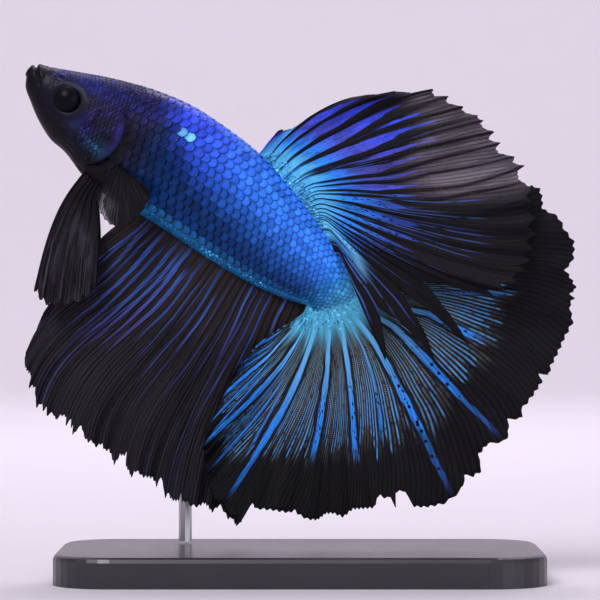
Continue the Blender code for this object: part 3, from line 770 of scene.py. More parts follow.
class Fin:
    """One fin as a closed slab: u runs across its rays and t along them.

    Each row of rays gives, at even steps of u, where a ray starts along the root, the bearing and
    distance of its tip from centre, and the angles at which it leaves and arrives. The slab's
    half thickness is its web's plus its ribs', more at the root and less at the rim. A fin's own
    root, trim, lean, ribs and pattern give its start, rim, slope out of the fish's plane, rays and
    colours.
    """

    columns, rows = 560, 64
    waves = 5.0
    wave_height = 0.7
    web, rib = 0.05, 0.10  # half thicknesses
    overlap = 1.4  # how far the slab's root sinks into the skin, along inward
    inward = np.array([0.0, 0.0, -1.0])

    def surface(self, u, t):
        """(a, y, h) of the middle surface, the share of the full ray length there, and that length."""
        start, bearing, distance, leave, arrive = np.moveaxis(spline(self.rays, u), -1, 0)
        root, root_y = self.root(start)
        tip = np.array(self.centre) + direction(bearing) * distance[..., None]
        length = np.linalg.norm(tip - root, axis=-1)
        along = t * self.trim(u)
        lines = ray_points(root, tip, leave, arrive, along)
        ripple = self.wave_height * along**1.5 * np.sin(2 * math.pi * self.waves * u)
        y = root_y + self.lean(u, along) + ripple + self.ruffle(u, along)
        sink = self.overlap * fade(along * length, 0, 1.5 * self.overlap)
        points = np.stack([lines[..., 0], y, lines[..., 1]], axis=-1) + sink[..., None] * self.inward
        return points, along, length

    def half_thickness(self, along, ribs):
        """Web and ribs, the ribs thinner towards the rim, on a root that swells to meet the skin."""
        taper = 1 - 0.45 * smooth(along, 0.6, 1.0)
        return self.web + self.rib * ribs * taper + ROOT_SWELL * np.exp(-along / ROOT_SWELL_REACH)

    def ruffle(self, u, t):
        """Small folds of the free edge, growing towards the rim."""
        turns = self.waves * 4.3 * u + 0.9 * mottle(u * 9, 0, 77)
        return 0.22 * np.maximum(t - 0.5, 0) ** 1.5 * 2.8 * np.sin(2 * math.pi * turns)

    def build(self, name, finish):
        """The closed slab: two faces moved off the middle surface by the half thickness, and a border wall.

        The maps put the front on the left half, the back on the right and the wall along the top.
        """
        u = np.linspace(0, 1, self.columns + 1)
        t = np.linspace(0, 1, self.rows + 1)
        t = 0.75 * t + 0.25 * (1 - (1 - t) ** 2)  # rows crowd a little towards the rim
        points, along, _ = self.surface(*np.meshgrid(u, t, indexing="ij"))
        normal = grid_normals(points)
        ribs = self.ribs(u[:, None], along)
        half = self.half_thickness(along, ribs) * (1 - 0.5 * smooth(t, 0.96, 1.0)[None, :])
        front, back = points + normal * half[..., None], points - normal * half[..., None]
        tints, masks = self.pattern(u[:, None], along, ribs)
        wide, deep = self.columns + 1, self.rows + 1
        cells = grid_quads(self.columns, self.rows, deep)
        offset = wide * deep
        border = np.concatenate([
            np.arange(self.rows),
            np.arange(self.columns) * deep + self.rows,
            self.columns * deep + np.arange(self.rows, 0, -1),
            np.arange(self.columns, 0, -1) * deep,
        ])
        after = np.roll(border, -1)
        walls = np.stack([border + offset, after + offset, after, border], axis=1)
        corners = np.concatenate([cells.ravel(), (cells[:, ::-1] + offset).ravel(), walls.ravel()])
        sizes = np.full(2 * len(cells) + len(walls), 4)
        vertex_map = np.stack([np.repeat(u, deep), along.ravel()], axis=1)
        rays_map = np.tile(vertex_map, (2, 1))[corners]
        sheet = np.stack([np.repeat(u, deep), np.tile(t, wide)], axis=1)
        face = 0.48, 0.94
        top, under = sheet * face + (0.01, 0.01), sheet * face + (0.51, 0.01)
        run = np.arange(len(walls)) / len(walls)
        ahead = run + 1 / len(walls)
        low, high = np.full_like(run, 0.965), np.full_like(run, 0.99)
        strip = np.stack([
            np.stack(spot, axis=1) for spot in ((run, low), (ahead, low), (ahead, high), (run, high))
        ], axis=1)
        bake = np.concatenate([top[cells.ravel()], under[cells[:, ::-1].ravel()], strip.reshape(-1, 2)])
        vertices = np.concatenate([front.reshape(-1, 3), back.reshape(-1, 3)])
        masks = {key: np.tile((mask + 0 * along).ravel(), 2) for key, mask in masks.items()}
        tints = np.tile(tints.reshape(-1, 3), (2, 1))
        maps = {"OFBake": bake, "rays": rays_map}
        return new_piece(name, pitched(vertices), corners, sizes, finish, tints, masks, maps)


WEB_DARK = paint(21, 19, 24)
WEB_SMOKE = paint(74, 65, 78)
WEB_BROWN = paint(40, 33, 35)
RAY_BLACK = paint(10, 9, 13)
AZURE = paint(40, 136, 240)
AZURE_PALE = paint(120, 200, 255)
FIN_VIOLET = paint(70, 78, 206)
DEEP_BLUE = paint(44, 74, 168)
FIN_BLUE = paint(62, 100, 184)
DULL_VIOLET = paint(72, 68, 146)
RAY_GREY = paint(52, 47, 57)


class CaudalFin(Fin):
    """The half-moon tail, a fan of 170 degrees from the slanting tail base."""

    columns, rows = 880, 52
    wave_height = 0.8
    centre = (45.3, 0.0)
    overlap = 0.6
    inward = np.array([-0.837, 0.0, 0.548])
    swing = -0.6
    rays = np.array([
        (0.00, -107.0, 13.5, -108, -87),
        (0.02, -101.0, 17.5, -101, -85),
        (0.04, -96.2, 21.8, -93, -89),
        (0.07, -92.6, 23.7, -75, -94),
        (0.10, -87.8, 26.1, -69, -87),
        (0.16, -79.6, 27.8, -64, -83),
        (0.24, -71.1, 26.3, -60, -73),
        (0.32, -60.2, 25.9, -53, -64),
        (0.38, -52.2, 25.5, -43, -55),
        (0.44, -43.9, 25.7, -35, -45),
        (0.50, -35.1, 26.1, -23, -39),
        (0.57, -21.4, 27.5, -14, -27),
        (0.64, -4.0, 26.7, -3, -9),
        (0.72, 11.4, 27.2, 11, -1),
        (0.79, 26.0, 28.2, 25, 15),
        (0.86, 39.4, 29.3, 39, 31),
        (0.93, 51.9, 29.9, 53, 51),
        (1.00, 66.8, 28.0, 65, 70),
    ])
    ray_places = thousandths(1, [
        12, 60, 105, 148, 190, 235, 290, 350, 410, 470, 525, 590, 650, 714, 775, 830, 885, 940, 988,
    ])
    rim_marks = thousandths(2, [
        0, 990, 30, 1010, 45, 980, 70, 1010, 90, 985, 120, 1000, 135, 980, 160, 1010, 180, 985,
        210, 1000, 228, 975, 250, 1000, 272, 1010, 285, 990, 310, 1040, 317, 1020, 325, 1080,
        329, 1060, 333, 965, 345, 1000, 370, 995, 392, 995, 397, 980, 405, 1000, 420, 1020, 440, 1028,
        456, 1000, 470, 1000, 490, 1020, 503, 990, 510, 980, 550, 980, 563, 925, 575, 950, 582, 940,
        586, 1010, 591, 925, 603, 925, 608, 1000, 620, 1012, 640, 1018, 661, 1000, 667, 965, 672, 995,
        681, 1010, 687, 950, 700, 950, 712, 1000, 720, 1000, 731, 950, 737, 980, 742, 1000, 746, 970,
        770, 980, 783, 985, 787, 950, 791, 1000, 800, 988, 830, 1000, 850, 1017, 860, 993, 868, 985,
        873, 1000, 878, 978, 884, 1005, 893, 980, 905, 945, 915, 980, 935, 996, 948, 975, 963, 980,
        975, 945, 985, 980, 993, 1000, 1000, 985,
    ])
    streaks = [
        ((300, 30, 450, 20, 650, 2), 14, 12, 330, 700, 900),
        ((350, 75, 600, 45, 850, 12), 6, 7, 360, 920, 850),
        ((380, 95, 600, 66, 900, 28), 6, 5, 400, 950, 800),
        ((150, 110, 400, 115, 550, 100, 800, 80, 900, 70), 11, 9, 120, 930, 1000),
        ((600, 45, 800, 20, 950, 0), 4, 4, 520, 970, 700),
        ((500, 130, 750, 120, 950, 110), 5, 4, 420, 970, 800),
        ((500, 148, 900, 146), 5, 4, 460, 930, 700),
        ((150, 192, 350, 188, 500, 180, 700, 170, 950, 155), 26, 10, 100, 990, 1000),
        ((200, 225, 600, 212), 6, 4, 200, 780, 700),
        ((500, 250, 750, 240, 950, 230), 6, 4, 380, 970, 800),
        ((500, 270, 700, 275), 5, 4, 420, 760, 700),
        ((100, 325, 250, 314, 450, 304, 600, 297, 800, 291, 950, 288), 30, 6, 80, 960, 1000),
        ((120, 455, 220, 438, 350, 430, 500, 420, 700, 412), 20, 10, 80, 750, 1000),
        ((120, 555, 220, 540, 350, 534, 500, 529, 700, 525), 16, 10, 80, 760, 1000),
        ((250, 615, 500, 600, 650, 590), 7, 5, 120, 700, 800),
        ((150, 672, 300, 660, 500, 652, 700, 650, 1000, 648), 16, 4, 100, 1000, 1000),
        ((270, 745, 400, 730, 550, 720, 700, 715, 1000, 713), 13, 3, 120, 980, 1000),
        ((380, 815, 500, 800, 600, 795), 12, 9, 220, 660, 900),
        ((300, 875, 700, 870), 6, 5, 250, 720, 600),
    ]

    def root(self, start):
        """Points along the slanting tail base, a little behind it and inside its ends."""
        base = PROFILE[-1]
        back, belly, aside = base[0:2], base[2:4], base[5]
        away = np.array([back[1] - belly[1], belly[0] - back[0]])
        away /= np.linalg.norm(away)
        share = (0.04 + 0.98 * start)[..., None]
        return belly + away * 0.4 + share * (back - belly), np.full(start.shape, aside)

    def trim(self, u):
        """The rim from its listed marks, combed by a slightly uneven saw of fine tips."""
        comb = 0.012 * np.abs((u * 118 + 1.5 * mottle(u * 30, 0, 5)) % 1.0 * 2 - 1)
        return rim_profile(u, self.rim_marks) - comb + 0.006

    def lean(self, u, t):
        """A straight swing to one side along the rays."""
        return self.swing * t

    def ribs(self, u, t):
        """The fan's main rays, forked twice."""
        return ray_ribs(u, t, self.ray_places, 0.0075, (0.18, 0.52), 0.030)

    def pattern(self, u, t, ribs):
        """Ice-blue base, azure streaks over a web with specks and hair lines, and a black margin."""
        front = fade(u, 0.22, 0.32)
        edge = 0.72 + 0.12 * (mottle(u * 150, 0, 8) - 0.5) + 0.12 * front - 0.03 * smooth(u, 0.55, 0.62)
        margin = smooth(t - edge, -0.06, 0.05)
        bands = streak_mask(u, t, self.streaks)
        outline = streak_mask(u, t, self.streaks, 2.2)
        blue = over(AZURE, AZURE_PALE, 0.75 * fade(t, 0.2, 0.6))
        blue = over(blue, FIN_VIOLET, 0.55 * smooth(t, 0.72, 0.95) * smooth(u, 0.5, 0.65))
        colour = over(WEB_DARK, blue, bands * (1 - 0.6 * margin * (1 - front)))
        uneven = 0.7 + 0.3 * mottle(u * 110, t * 30, 13)
        base = fade(t + 0.10 * mottle(u * 64, 0, 14), 0.15, 0.31) * uneven
        colour = over(colour, ICE, base)
        rise, fall = smooth(t, 0.08, 0.42), fade(t - edge, -0.12, 0.06)
        hair = rise * fall * (1 - outline) * (1 - 0.6 * bell(u - 0.66, 0.05))
        hair = hair * (1 - 0.5 * smooth(u, 0.93, 0.97)) * (0.82 + 0.18 * front)
        net = (1 - margin) * (1 - 0.9 * outline) * smooth(t, 0.12, 0.22) * (0.25 + 0.75 * smooth(u, 0.1, 0.3))
        net = net * (1 - 0.65 * smooth(t, 0.45, 0.66))
        colour = over(colour, WEB_SMOKE, 0.32 * net)
        dots = bands * smooth(t, 0.34, 0.46) * (0.25 + 0.75 * smooth(u, 0.38, 0.44))
        dots = np.maximum(dots, hair * smooth(t, 0.52, 0.66))
        colour = over(colour, RAY_BLACK, 0.6 * margin * (1 - bands))
        veil = 1 - 0.05 * margin
        return colour, {"veil": veil, "net": net, "hair": 0.95 * hair, "dots": dots}


class DorsalFin(Fin):
    """The back fin: a web behind a short front, with dark rays, and lappets over the tail."""

    columns, rows = 760, 60
    centre = (38.2, 7.4)
    rays = np.array([
        (28.0, 154.0, 11.2, 97, 89),
        (28.6, 129.0, 12.4, 92, 56),
        (29.2, 105.0, 15.5, 87, 50),
        (29.9, 94.5, 17.5, 82, 51),
        (30.9, 84.9, 20.0, 76, 51),
        (31.9, 73.0, 21.4, 68, 49),
        (32.9, 65.0, 22.7, 58, 49),
        (33.7, 57.5, 23.6, 50, 50),
        (34.3, 50.7, 24.9, 42, 52),
        (34.9, 44.0, 25.0, 36, 49),
        (35.3, 36.0, 25.3, 30, 46),
        (35.7, 28.0, 25.7, 24, 42),
        (36.1, 21.5, 25.4, 16, 34),
        (36.5, 14.5, 23.8, 8, 25),
        (36.9, 7.5, 21.6, -1, 10),
        (37.4, -4.6, 23.5, -9, -17),
        (38.7, -14.9, 21.6, -17, -27),
        (41.8, -29.2, 19.1, -39, -30),
    ])
    rim_marks = thousandths(2, [
        0, 1000, 35, 560, 60, 460, 85, 390, 94, 420, 101, 1000, 115, 985, 140, 955, 165, 1010,
        190, 965, 220, 925, 228, 1035, 240, 985, 250, 965, 258, 1020, 266, 975, 274, 970, 286, 1012,
        294, 985, 305, 985, 318, 1010, 329, 992, 336, 1005, 345, 975, 360, 968, 374, 1000, 380, 965,
        390, 950, 403, 990, 412, 952, 427, 945, 446, 995, 456, 968, 465, 975, 472, 1006, 482, 965,
        503, 960, 516, 985, 530, 1010, 545, 980, 560, 1012, 572, 975, 590, 1010, 603, 970, 618, 1005,
        632, 965, 648, 1000, 662, 960, 678, 1000, 690, 955, 706, 995, 720, 950, 735, 990, 748, 940,
        762, 985, 776, 930, 790, 1000, 800, 950, 815, 820, 845, 680, 866, 800, 875, 900, 882, 1010,
        888, 900, 897, 720, 912, 560, 927, 720, 935, 900, 941, 1010, 947, 900, 956, 740, 972, 600,
        985, 760, 993, 920, 1000, 1000,
    ])
    ray_lines = [
        (0, 105, 1000, 103),
        (150, 170, 1000, 165),
        (200, 235, 400, 240, 600, 235, 750, 228, 1000, 228),
        (350, 295, 500, 280, 650, 270, 1000, 259),
        (200, 297, 400, 297, 700, 292, 1000, 287),
        (150, 350, 350, 355, 500, 345, 650, 330, 1000, 319),
        (450, 352, 700, 343, 1000, 337),
        (200, 365, 350, 385, 450, 385, 600, 375, 1000, 373),
        (200, 430, 400, 435, 550, 420, 700, 410, 1000, 404),
        (300, 460, 450, 465, 600, 450, 1000, 445),
        (200, 500, 350, 515, 500, 505, 700, 500, 850, 485, 1000, 473),
        (300, 530, 450, 545, 600, 535, 750, 520, 1000, 510),
        (250, 590, 400, 600, 500, 590, 650, 580, 1000, 560),
        (150, 660, 300, 670, 1000, 640),
        (150, 720, 1000, 705),
        (150, 770, 1000, 762),
        (150, 815, 1000, 792),
        (100, 840, 1000, 845),
        (100, 870, 1000, 882),
        (100, 905, 1000, 912),
        (100, 935, 1000, 941),
        (100, 990, 1000, 997),
    ]
    ray_widths = thousandths(1, [
        8, 7, 10, 9, 9, 12, 7, 11, 8, 7, 10, 8, 10, 11, 10, 9, 9, 5, 9, 5, 9, 6,
    ])

    # Where along the rays the bands run out, and from where the web is smoky, at places across them.
    band_ends = (
        (0, 0.12, 0.20, 0.30, 0.36, 0.50, 0.60, 0.85, 1),
        (0.95, 0.95, 0.88, 0.80, 0.70, 0.60, 0.62, 0.5, 0.4),
    )
    smoke_from = (0, 0.2, 0.3, 0.4, 0.5, 0.56), (0.95, 0.86, 0.72, 0.5, 0.46, 0.5)

    def root(self, start):
        """Just off the back's line."""
        return profile_root(start, 1)

    def trim(self, u):
        """The rim from its listed marks, combed by a fine even saw."""
        comb = 0.006 * np.abs((u * 96) % 1.0 * 2 - 1)
        return rim_profile(u, self.rim_marks) - comb

    def lean(self, u, t):
        """A lean to the left that grows towards the rear and levels off towards the rim."""
        return np.interp(u, (0.25, 0.6), (-1.2, -5.2)) * (1 - np.exp(-2.2 * t))

    def ribs(self, u, t):
        """The drawn rays, each forked past half its length where the web is wide enough."""
        height = np.zeros(np.broadcast(u, t).shape)
        for line, width in zip(self.ray_lines, self.ray_widths):
            line = thousandths(2, line)
            centre = np.interp(t, line[:, 0], line[:, 1])
            height = np.maximum(height, bell(u - centre, width * (1 - 0.45 * smooth(t, 0.5, 1))))
            fork = 0.012 * smooth(t, 0.55, 1.0)
            for branch in (-fork, fork):
                twig = 0.55 * smooth(t, 0.6, 0.75) * bell(u - centre + branch, width * 0.35)
                height = np.maximum(height, twig)
        return height

    def pattern(self, u, t, ribs):
        """Ice-blue base; blue to violet bands between black rays that narrow as they run out; smoke beyond.

        A band shows where the share of the gap between two rays passes a threshold that rises with t.
        """
        gap = gap_share(u, t, self.ray_lines)
        ends = np.interp(u, *self.band_ends) + 0.16 * (mottle(u * 34, 0, 61) - 0.5)
        rear = smooth(u, 0.49, 0.54)
        smoke = smooth(t - np.interp(u, *self.smoke_from), -0.1, 0.14) * fade(u, 0.50, 0.56)
        smoke = smoke * (0.72 + 0.28 * smooth(mottle(u * 26, t * 9, 71), 0.3, 0.7))
        colour = over(WEB_DARK, WEB_SMOKE, smoke * (0.45 + 0.47 * smooth(u, 0.26, 0.42)))
        threshold = 0.10 + 0.26 * smooth(t, 0.12, 0.3) + 0.22 * rear + 0.55 * smooth(t / ends, 0.55, 1.0)
        threshold = threshold + 0.22 * (mottle(u * 150, t * 16, 66) - 0.5) * smooth(t, 0.15, 0.3)
        threshold = threshold - 0.14 * bell(u - 0.60, 0.09) * fade(t, 0.35, 0.55)
        bands = smooth(gap, threshold - 0.05, threshold + 0.08) * smooth(1.02 - t / ends, 0, 0.08)
        blue = over(AZURE, FIN_VIOLET, smooth(t, 0.14, 0.36) * (1 - 0.75 * rear))
        blue = over(blue, DULL_VIOLET, 0.8 * bell(u - 0.41, 0.07) * smooth(t, 0.22, 0.36))
        blue = over(blue, ROYAL, 0.8 * smooth(t, 0.35, 0.6) * fade(u, 0.33, 0.4))
        blue = over(blue, DEEP_BLUE, rear * smooth(t, 0.18, 0.42))
        patchy = 0.62 + 0.38 * smooth(mottle(u * 60, t * 14, 64), 0.3, 0.6)
        colour = over(colour, blue, bands * patchy)
        colour = over(colour, over(SKY, ICE, 0.4), fade(u, 0.098, 0.104) * fade(t, 0.3, 0.5))
        stripe = bell(u - np.interp(t, (0, 0.4), (0.90, 0.95)), 0.021) * fade(t, 0.30, 0.48)
        uneven = 0.5 + 0.5 * mottle(u * 90, t * 60, 63)
        base = fade(t + 0.05 * mottle(u * 80, 0, 68), 0.10, 0.22) * uneven
        colour = over(colour, ICE, base * smooth(gap, 0.1, 0.4))
        colour = over(colour, PALE_CYAN, 0.8 * stripe)
        fine = 0.25 + 0.3 * smoke
        drawn = 0.95 * smooth(ribs, fine, fine + 0.3) * smooth(t, 0.04, 0.14) * (1 - 0.8 * stripe)
        colour = over(colour, RAY_BLACK, drawn)
        lappets = smooth(u, 0.80, 0.86)
        colour = over(colour, RAY_BLACK, 0.8 * lappets * smooth(t, 0.15, 0.35) * (1 - stripe))
        colour = over(colour, RAY_BLACK, smooth(u, 0.95, 0.975) * smooth(t, 0.015, 0.07))
        hair = rear * smooth(t, 0.15, 0.4) * fade(t, 0.45, 0.95) * (1 - bands) * (0.4 - 0.2 * lappets)
        hair = np.maximum(hair, 0.45 * smooth(u, 0.91, 0.95) * fade(t, 0.35, 0.6))
        hair = np.maximum(hair, 0.25 * bell(t - 0.35, 0.2) * (1 - smoke) * (1 - rear))
        dots = bands * smooth(t, 0.12, 0.2) * (0.35 + 0.65 * rear)
        return colour, {"veil": 1 - 0.40 * smoke * (1 - ribs), "net": 0.3 * smoke, "hair": hair, "dots": dots}


class AnalFin(Fin):
    """The fin under the body, fringed by its ray tips."""

    columns, rows = 760, 60
    centre = (29.25, -4.7)
    inward = np.array([0.0, 0.0, 1.0])
    rays = np.array([
        (20.2, -121.0, 20.3, -117, -90),
        (25.3, -109.0, 25.0, -98, -76),
        (29.4, -95.0, 26.5, -90, -66),
        (32.2, -82.5, 26.5, -84, -61),
        (34.4, -73.0, 27.0, -79, -60),
        (36.4, -64.0, 28.8, -74, -60),
        (38.4, -55.0, 30.5, -71, -59),
        (40.6, -46.0, 32.2, -70, -58),
        (43.3, -38.0, 31.2, -66, -57),
    ])
    ray_places = thousandths(1, [
        12, 45, 75, 100, 135, 160, 190, 220, 250, 280, 320, 355, 400, 430, 470, 520, 570, 610, 660,
        700, 740, 780, 820, 860, 900, 940, 980,
    ])
    rim_marks = thousandths(2, [
        0, 1000, 30, 1000, 50, 970, 70, 1060, 85, 1060, 120, 1015, 135, 1000, 155, 975, 161, 1030,
        170, 1000, 182, 990, 200, 1050, 213, 1005, 220, 1035, 228, 1000, 234, 1030, 250, 995,
        262, 1010, 275, 970, 290, 958, 293, 1000, 299, 980, 305, 945, 310, 1000, 314, 960, 318, 1020,
        325, 990, 338, 950, 350, 990, 365, 1005, 380, 990, 390, 1010, 410, 980, 425, 1000, 440, 990,
        453, 1010, 466, 1040, 474, 1020, 485, 980, 500, 970, 508, 950, 513, 1010, 525, 1020, 538, 1040,
        550, 1000, 565, 990, 580, 1000, 600, 980, 617, 973, 633, 1000, 643, 943, 650, 970, 658, 990,
        665, 1040, 671, 1000, 690, 1020, 710, 1010, 715, 975, 722, 1010, 735, 995, 750, 1006,
        770, 1000, 787, 974, 800, 980, 813, 1000, 832, 960, 848, 985, 862, 1015, 873, 1010, 885, 1040,
        905, 1040, 913, 963, 930, 965, 960, 980, 1000, 1000,
    ])
    streaks = [
        ((100, 48, 350, 60), 10, 8, 60, 420, 450),
        ((100, 65, 350, 92, 450, 100), 12, 8, 60, 450, 600),
        ((120, 88, 350, 110, 550, 122), 8, 6, 80, 550, 400),
        ((80, 108, 200, 122, 350, 140, 500, 151, 700, 150), 13, 7, 60, 720, 900),
        ((120, 138, 350, 165, 500, 180, 700, 184), 10, 6, 80, 700, 600),
        ((80, 165, 200, 180, 350, 196, 500, 206, 700, 204), 13, 7, 50, 660, 850),
        ((80, 193, 250, 212, 400, 225, 550, 231, 700, 226), 13, 7, 60, 660, 900),
        ((80, 213, 200, 232, 300, 245, 450, 257, 600, 258), 18, 7, 50, 600, 1000),
        ((120, 256, 220, 270, 320, 281, 500, 283), 18, 7, 100, 600, 1000),
        ((80, 287, 200, 307, 300, 319, 450, 322), 14, 7, 50, 480, 700),
        ((150, 342, 300, 360, 450, 370, 600, 371), 10, 6, 100, 600, 550),
        ((100, 372, 300, 388), 10, 6, 60, 340, 350),
        ((40, 402, 200, 422, 350, 430, 550, 430, 700, 424), 15, 7, 30, 660, 700),
        ((120, 460, 250, 474, 400, 479, 500, 480), 16, 9, 120, 450, 750),
        ((450, 482, 600, 478, 750, 470), 7, 6, 450, 720, 350),
        ((80, 503, 300, 520), 10, 8, 60, 340, 350),
        ((300, 555, 450, 557, 600, 545), 8, 6, 280, 660, 450),
        ((80, 600, 300, 611, 500, 606), 10, 6, 50, 500, 350),
        ((0, 645, 200, 655, 350, 660), 18, 9, 10, 380, 850),
        ((50, 690, 200, 680, 450, 662), 8, 6, 30, 460, 350),
        ((40, 741, 200, 730, 400, 710, 600, 694), 13, 7, 30, 660, 600),
        ((20, 792, 150, 780, 350, 758), 15, 9, 20, 380, 750),
        ((0, 890, 120, 878), 16, 10, 0, 200, 800),
    ]

    def root(self, start):
        """Just off the belly's line, drawn aside towards the stalk."""
        points, aside = profile_root(start, -1)
        return points, aside + np.interp(start, (34, 42), (0, 0.9))

    def trim(self, u):
        """The rim from its listed marks, combed by a slightly uneven saw of fine tips."""
        comb = 0.014 * np.abs((u * 84 + 1.2 * mottle(u * 22, 0, 6)) % 1.0 * 2 - 1)
        return rim_profile(u, self.rim_marks) - comb + 0.006

    def lean(self, u, t):
        """A straight lean to the right that grows towards the rear."""
        return np.interp(u, (0.3, 1), (0.4, 1.9)) * t

    def ribs(self, u, t):
        """Forked rays that sway towards the tail in front and towards the head behind."""
        sway = np.interp(u, (0, 0.1, 0.3, 0.5, 0.62, 0.75, 1), (0, 0.045, 0.045, 0.02, 0, -0.045, -0.03))
        return ray_ribs(u - sway * smooth(t, 0, 0.5), t, self.ray_places, 0.0070, (0.30, 0.62), 0.016)

    def pattern(self, u, t, ribs):
        """Black web, brown at its base, with dull blue and violet streaks that fade out along the rays."""
        web = over(WEB_BROWN, WEB_DARK, smooth(t, 0.10, 0.45))
        bands = streak_mask(u, t, self.streaks, 0.78)
        bands = bands * (0.7 + 0.3 * mottle(u * 120, t * 9, 71))
        blue = over(FIN_BLUE, DULL_VIOLET, smooth(t + 0.3 * mottle(u * 30, 0, 74), 0.25, 0.75))
        blue = over(blue, RAY_GREY, 0.6 * smooth(t, 0.45, 0.75))
        colour = over(web, RAY_BLACK, 0.6 * smooth(ribs, 0.3, 0.8) * fade(t, 0.3, 0.5))
        pale = 0.7 * smooth(ribs, 0.55, 0.95) * smooth(t, 0.3, 0.55)
        colour = over(colour, RAY_GREY, pale * (0.4 + 0.6 * mottle(u * 60, t * 5, 75)))
        colour = over(colour, blue, 0.9 * bands)
        veil = 1 - 0.10 * smooth(t, 0.3, 0.7) * (1 - ribs)
        net = 0.25 * smooth(t, 0.05, 0.2) * (1 - bands)
        return colour, {"veil": veil, "net": net, "hair": 0.08 * (1 - bands), "dots": 0 * bands}


class PelvicFin(Fin):
    """A long blade under the chest, black, with a stout front ray."""

    columns, rows = 150, 64
    centre = (13.6, -6.6)
    waves = 1.5
    wave_height = 0.3
    web, rib = 0.06, 0.15
    overlap = 1.0
    inward = np.array([0.0, 0.0, 1.0])
    spread = 2.4
    rays = np.array([
        (-0.2, -78, 14.2, -95, -66),
        (0.25, -71, 15.2, -89, -61),
        (0.50, -64, 14.9, -78, -58),
        (0.75, -55, 14.1, -60, -57),
        (1.00, -47, 12.7, -46, -58),
    ])

    def __init__(self, side):
        """side is -1 on the fish's left and 1 on its right."""
        self.side = side

    def root(self, start):
        """A short straight line on that side of the chest."""
        points = np.array([13.0, -6.6]) + start[..., None] * np.array([2.2, 0.0])
        return points, np.full(start.shape, self.side * 1.2)

    def trim(self, u):
        """The full length less seven rounded notches and a fine saw."""
        comb = 0.05 * (1 - np.abs((u * 7) % 1.0 * 2 - 1)) ** 2
        return 1 - comb - 0.012 * np.abs((u * 31) % 1.0 * 2 - 1)

    def lean(self, u, t):
        """A straight spread outwards along the rays."""
        return self.side * self.spread * t

    def ribs(self, u, t):
        """Six forked rays, and a stout one along the front edge."""
        places = np.array([0.02, 0.2, 0.38, 0.56, 0.75, 0.95])
        return np.maximum(ray_ribs(u, t, places, 0.035, (0.35, 0.6), 0.08), bell(u, 0.05))

    def pattern(self, u, t, ribs):
        """Black with smoky patches that start past the root, on a nearly opaque web."""
        patches = 0.5 * smooth(mottle(u * 14, t * 9, 81), 0.4, 0.9)
        colour = over(WEB_DARK, WEB_SMOKE, patches * smooth(t, 0.15, 0.4))
        colour = over(colour, RAY_BLACK, 0.5 * ribs)
        veil = 0.98 - 0.10 * (1 - ribs) * smooth(t, 0.2, 0.6)
        late = 0.3 * smooth(t, 0.2, 0.6)
        return colour, {"veil": veil, "net": 0.4 * smooth(t, 0.1, 0.3), "hair": late, "dots": late}


class PectoralFin(Fin):
    """The small fin behind the gill cover, a smoky fan."""

    columns, rows = 120, 40
    centre = (16.0, -2.3)
    waves = 1.5
    wave_height = 0.25
    web, rib = 0.035, 0.07
    overlap = 0.5
    spread = 1.6
    rays = np.array([
        (0.00, -90, 4.8, -104, -80),
        (0.25, -72, 6.6, -78, -68),
        (0.50, -54, 7.4, -52, -54),
        (0.75, -32, 6.2, -28, -38),
        (1.00, -4, 4.6, 2, -14),
    ])

    def __init__(self, side):
        """side is -1 on the fish's left and 1 on its right."""
        self.side = side
        self.inward = np.array([0.0, -side, 0.0])

    def root(self, start):
        """A short slanting line on that flank."""
        points = np.array([15.5, -2.1]) + start[..., None] * np.array([1.1, -0.5])
        return points, np.full(start.shape, self.side * 3.85)

    def trim(self, u):
        """The full length less eleven shallow scallops."""
        return 1 - 0.035 * np.abs(np.sin(math.pi * u * 11)) ** 0.7

    def lean(self, u, t):
        """A quick step off the flank, then a straight spread outwards."""
        return self.side * (0.3 * smooth(t, 0, 0.1) + self.spread * t)

    def ribs(self, u, t):
        """Eleven rays, forked twice."""
        places = np.linspace(0.02, 0.98, 11)
        return ray_ribs(u, t, places, 0.014, (0.4, 0.7), 0.045)

    def pattern(self, u, t, ribs):
        """Dark web and black rays, smoky and clear in one soft patch near the front."""
        colour = over(WEB_DARK, RAY_BLACK, ribs)
        clear = bell(u - 0.22, 0.2) * smooth(t, 0.45, 0.75)
        colour = over(colour, WEB_SMOKE, 0.8 * clear * (1 - ribs))
        veil = np.minimum(1, 0.90 - 0.62 * clear + 0.35 * ribs)
        return colour, {"veil": veil, "net": 0.3 * clear, "hair": 0.5 * clear, "dots": 0 * t}


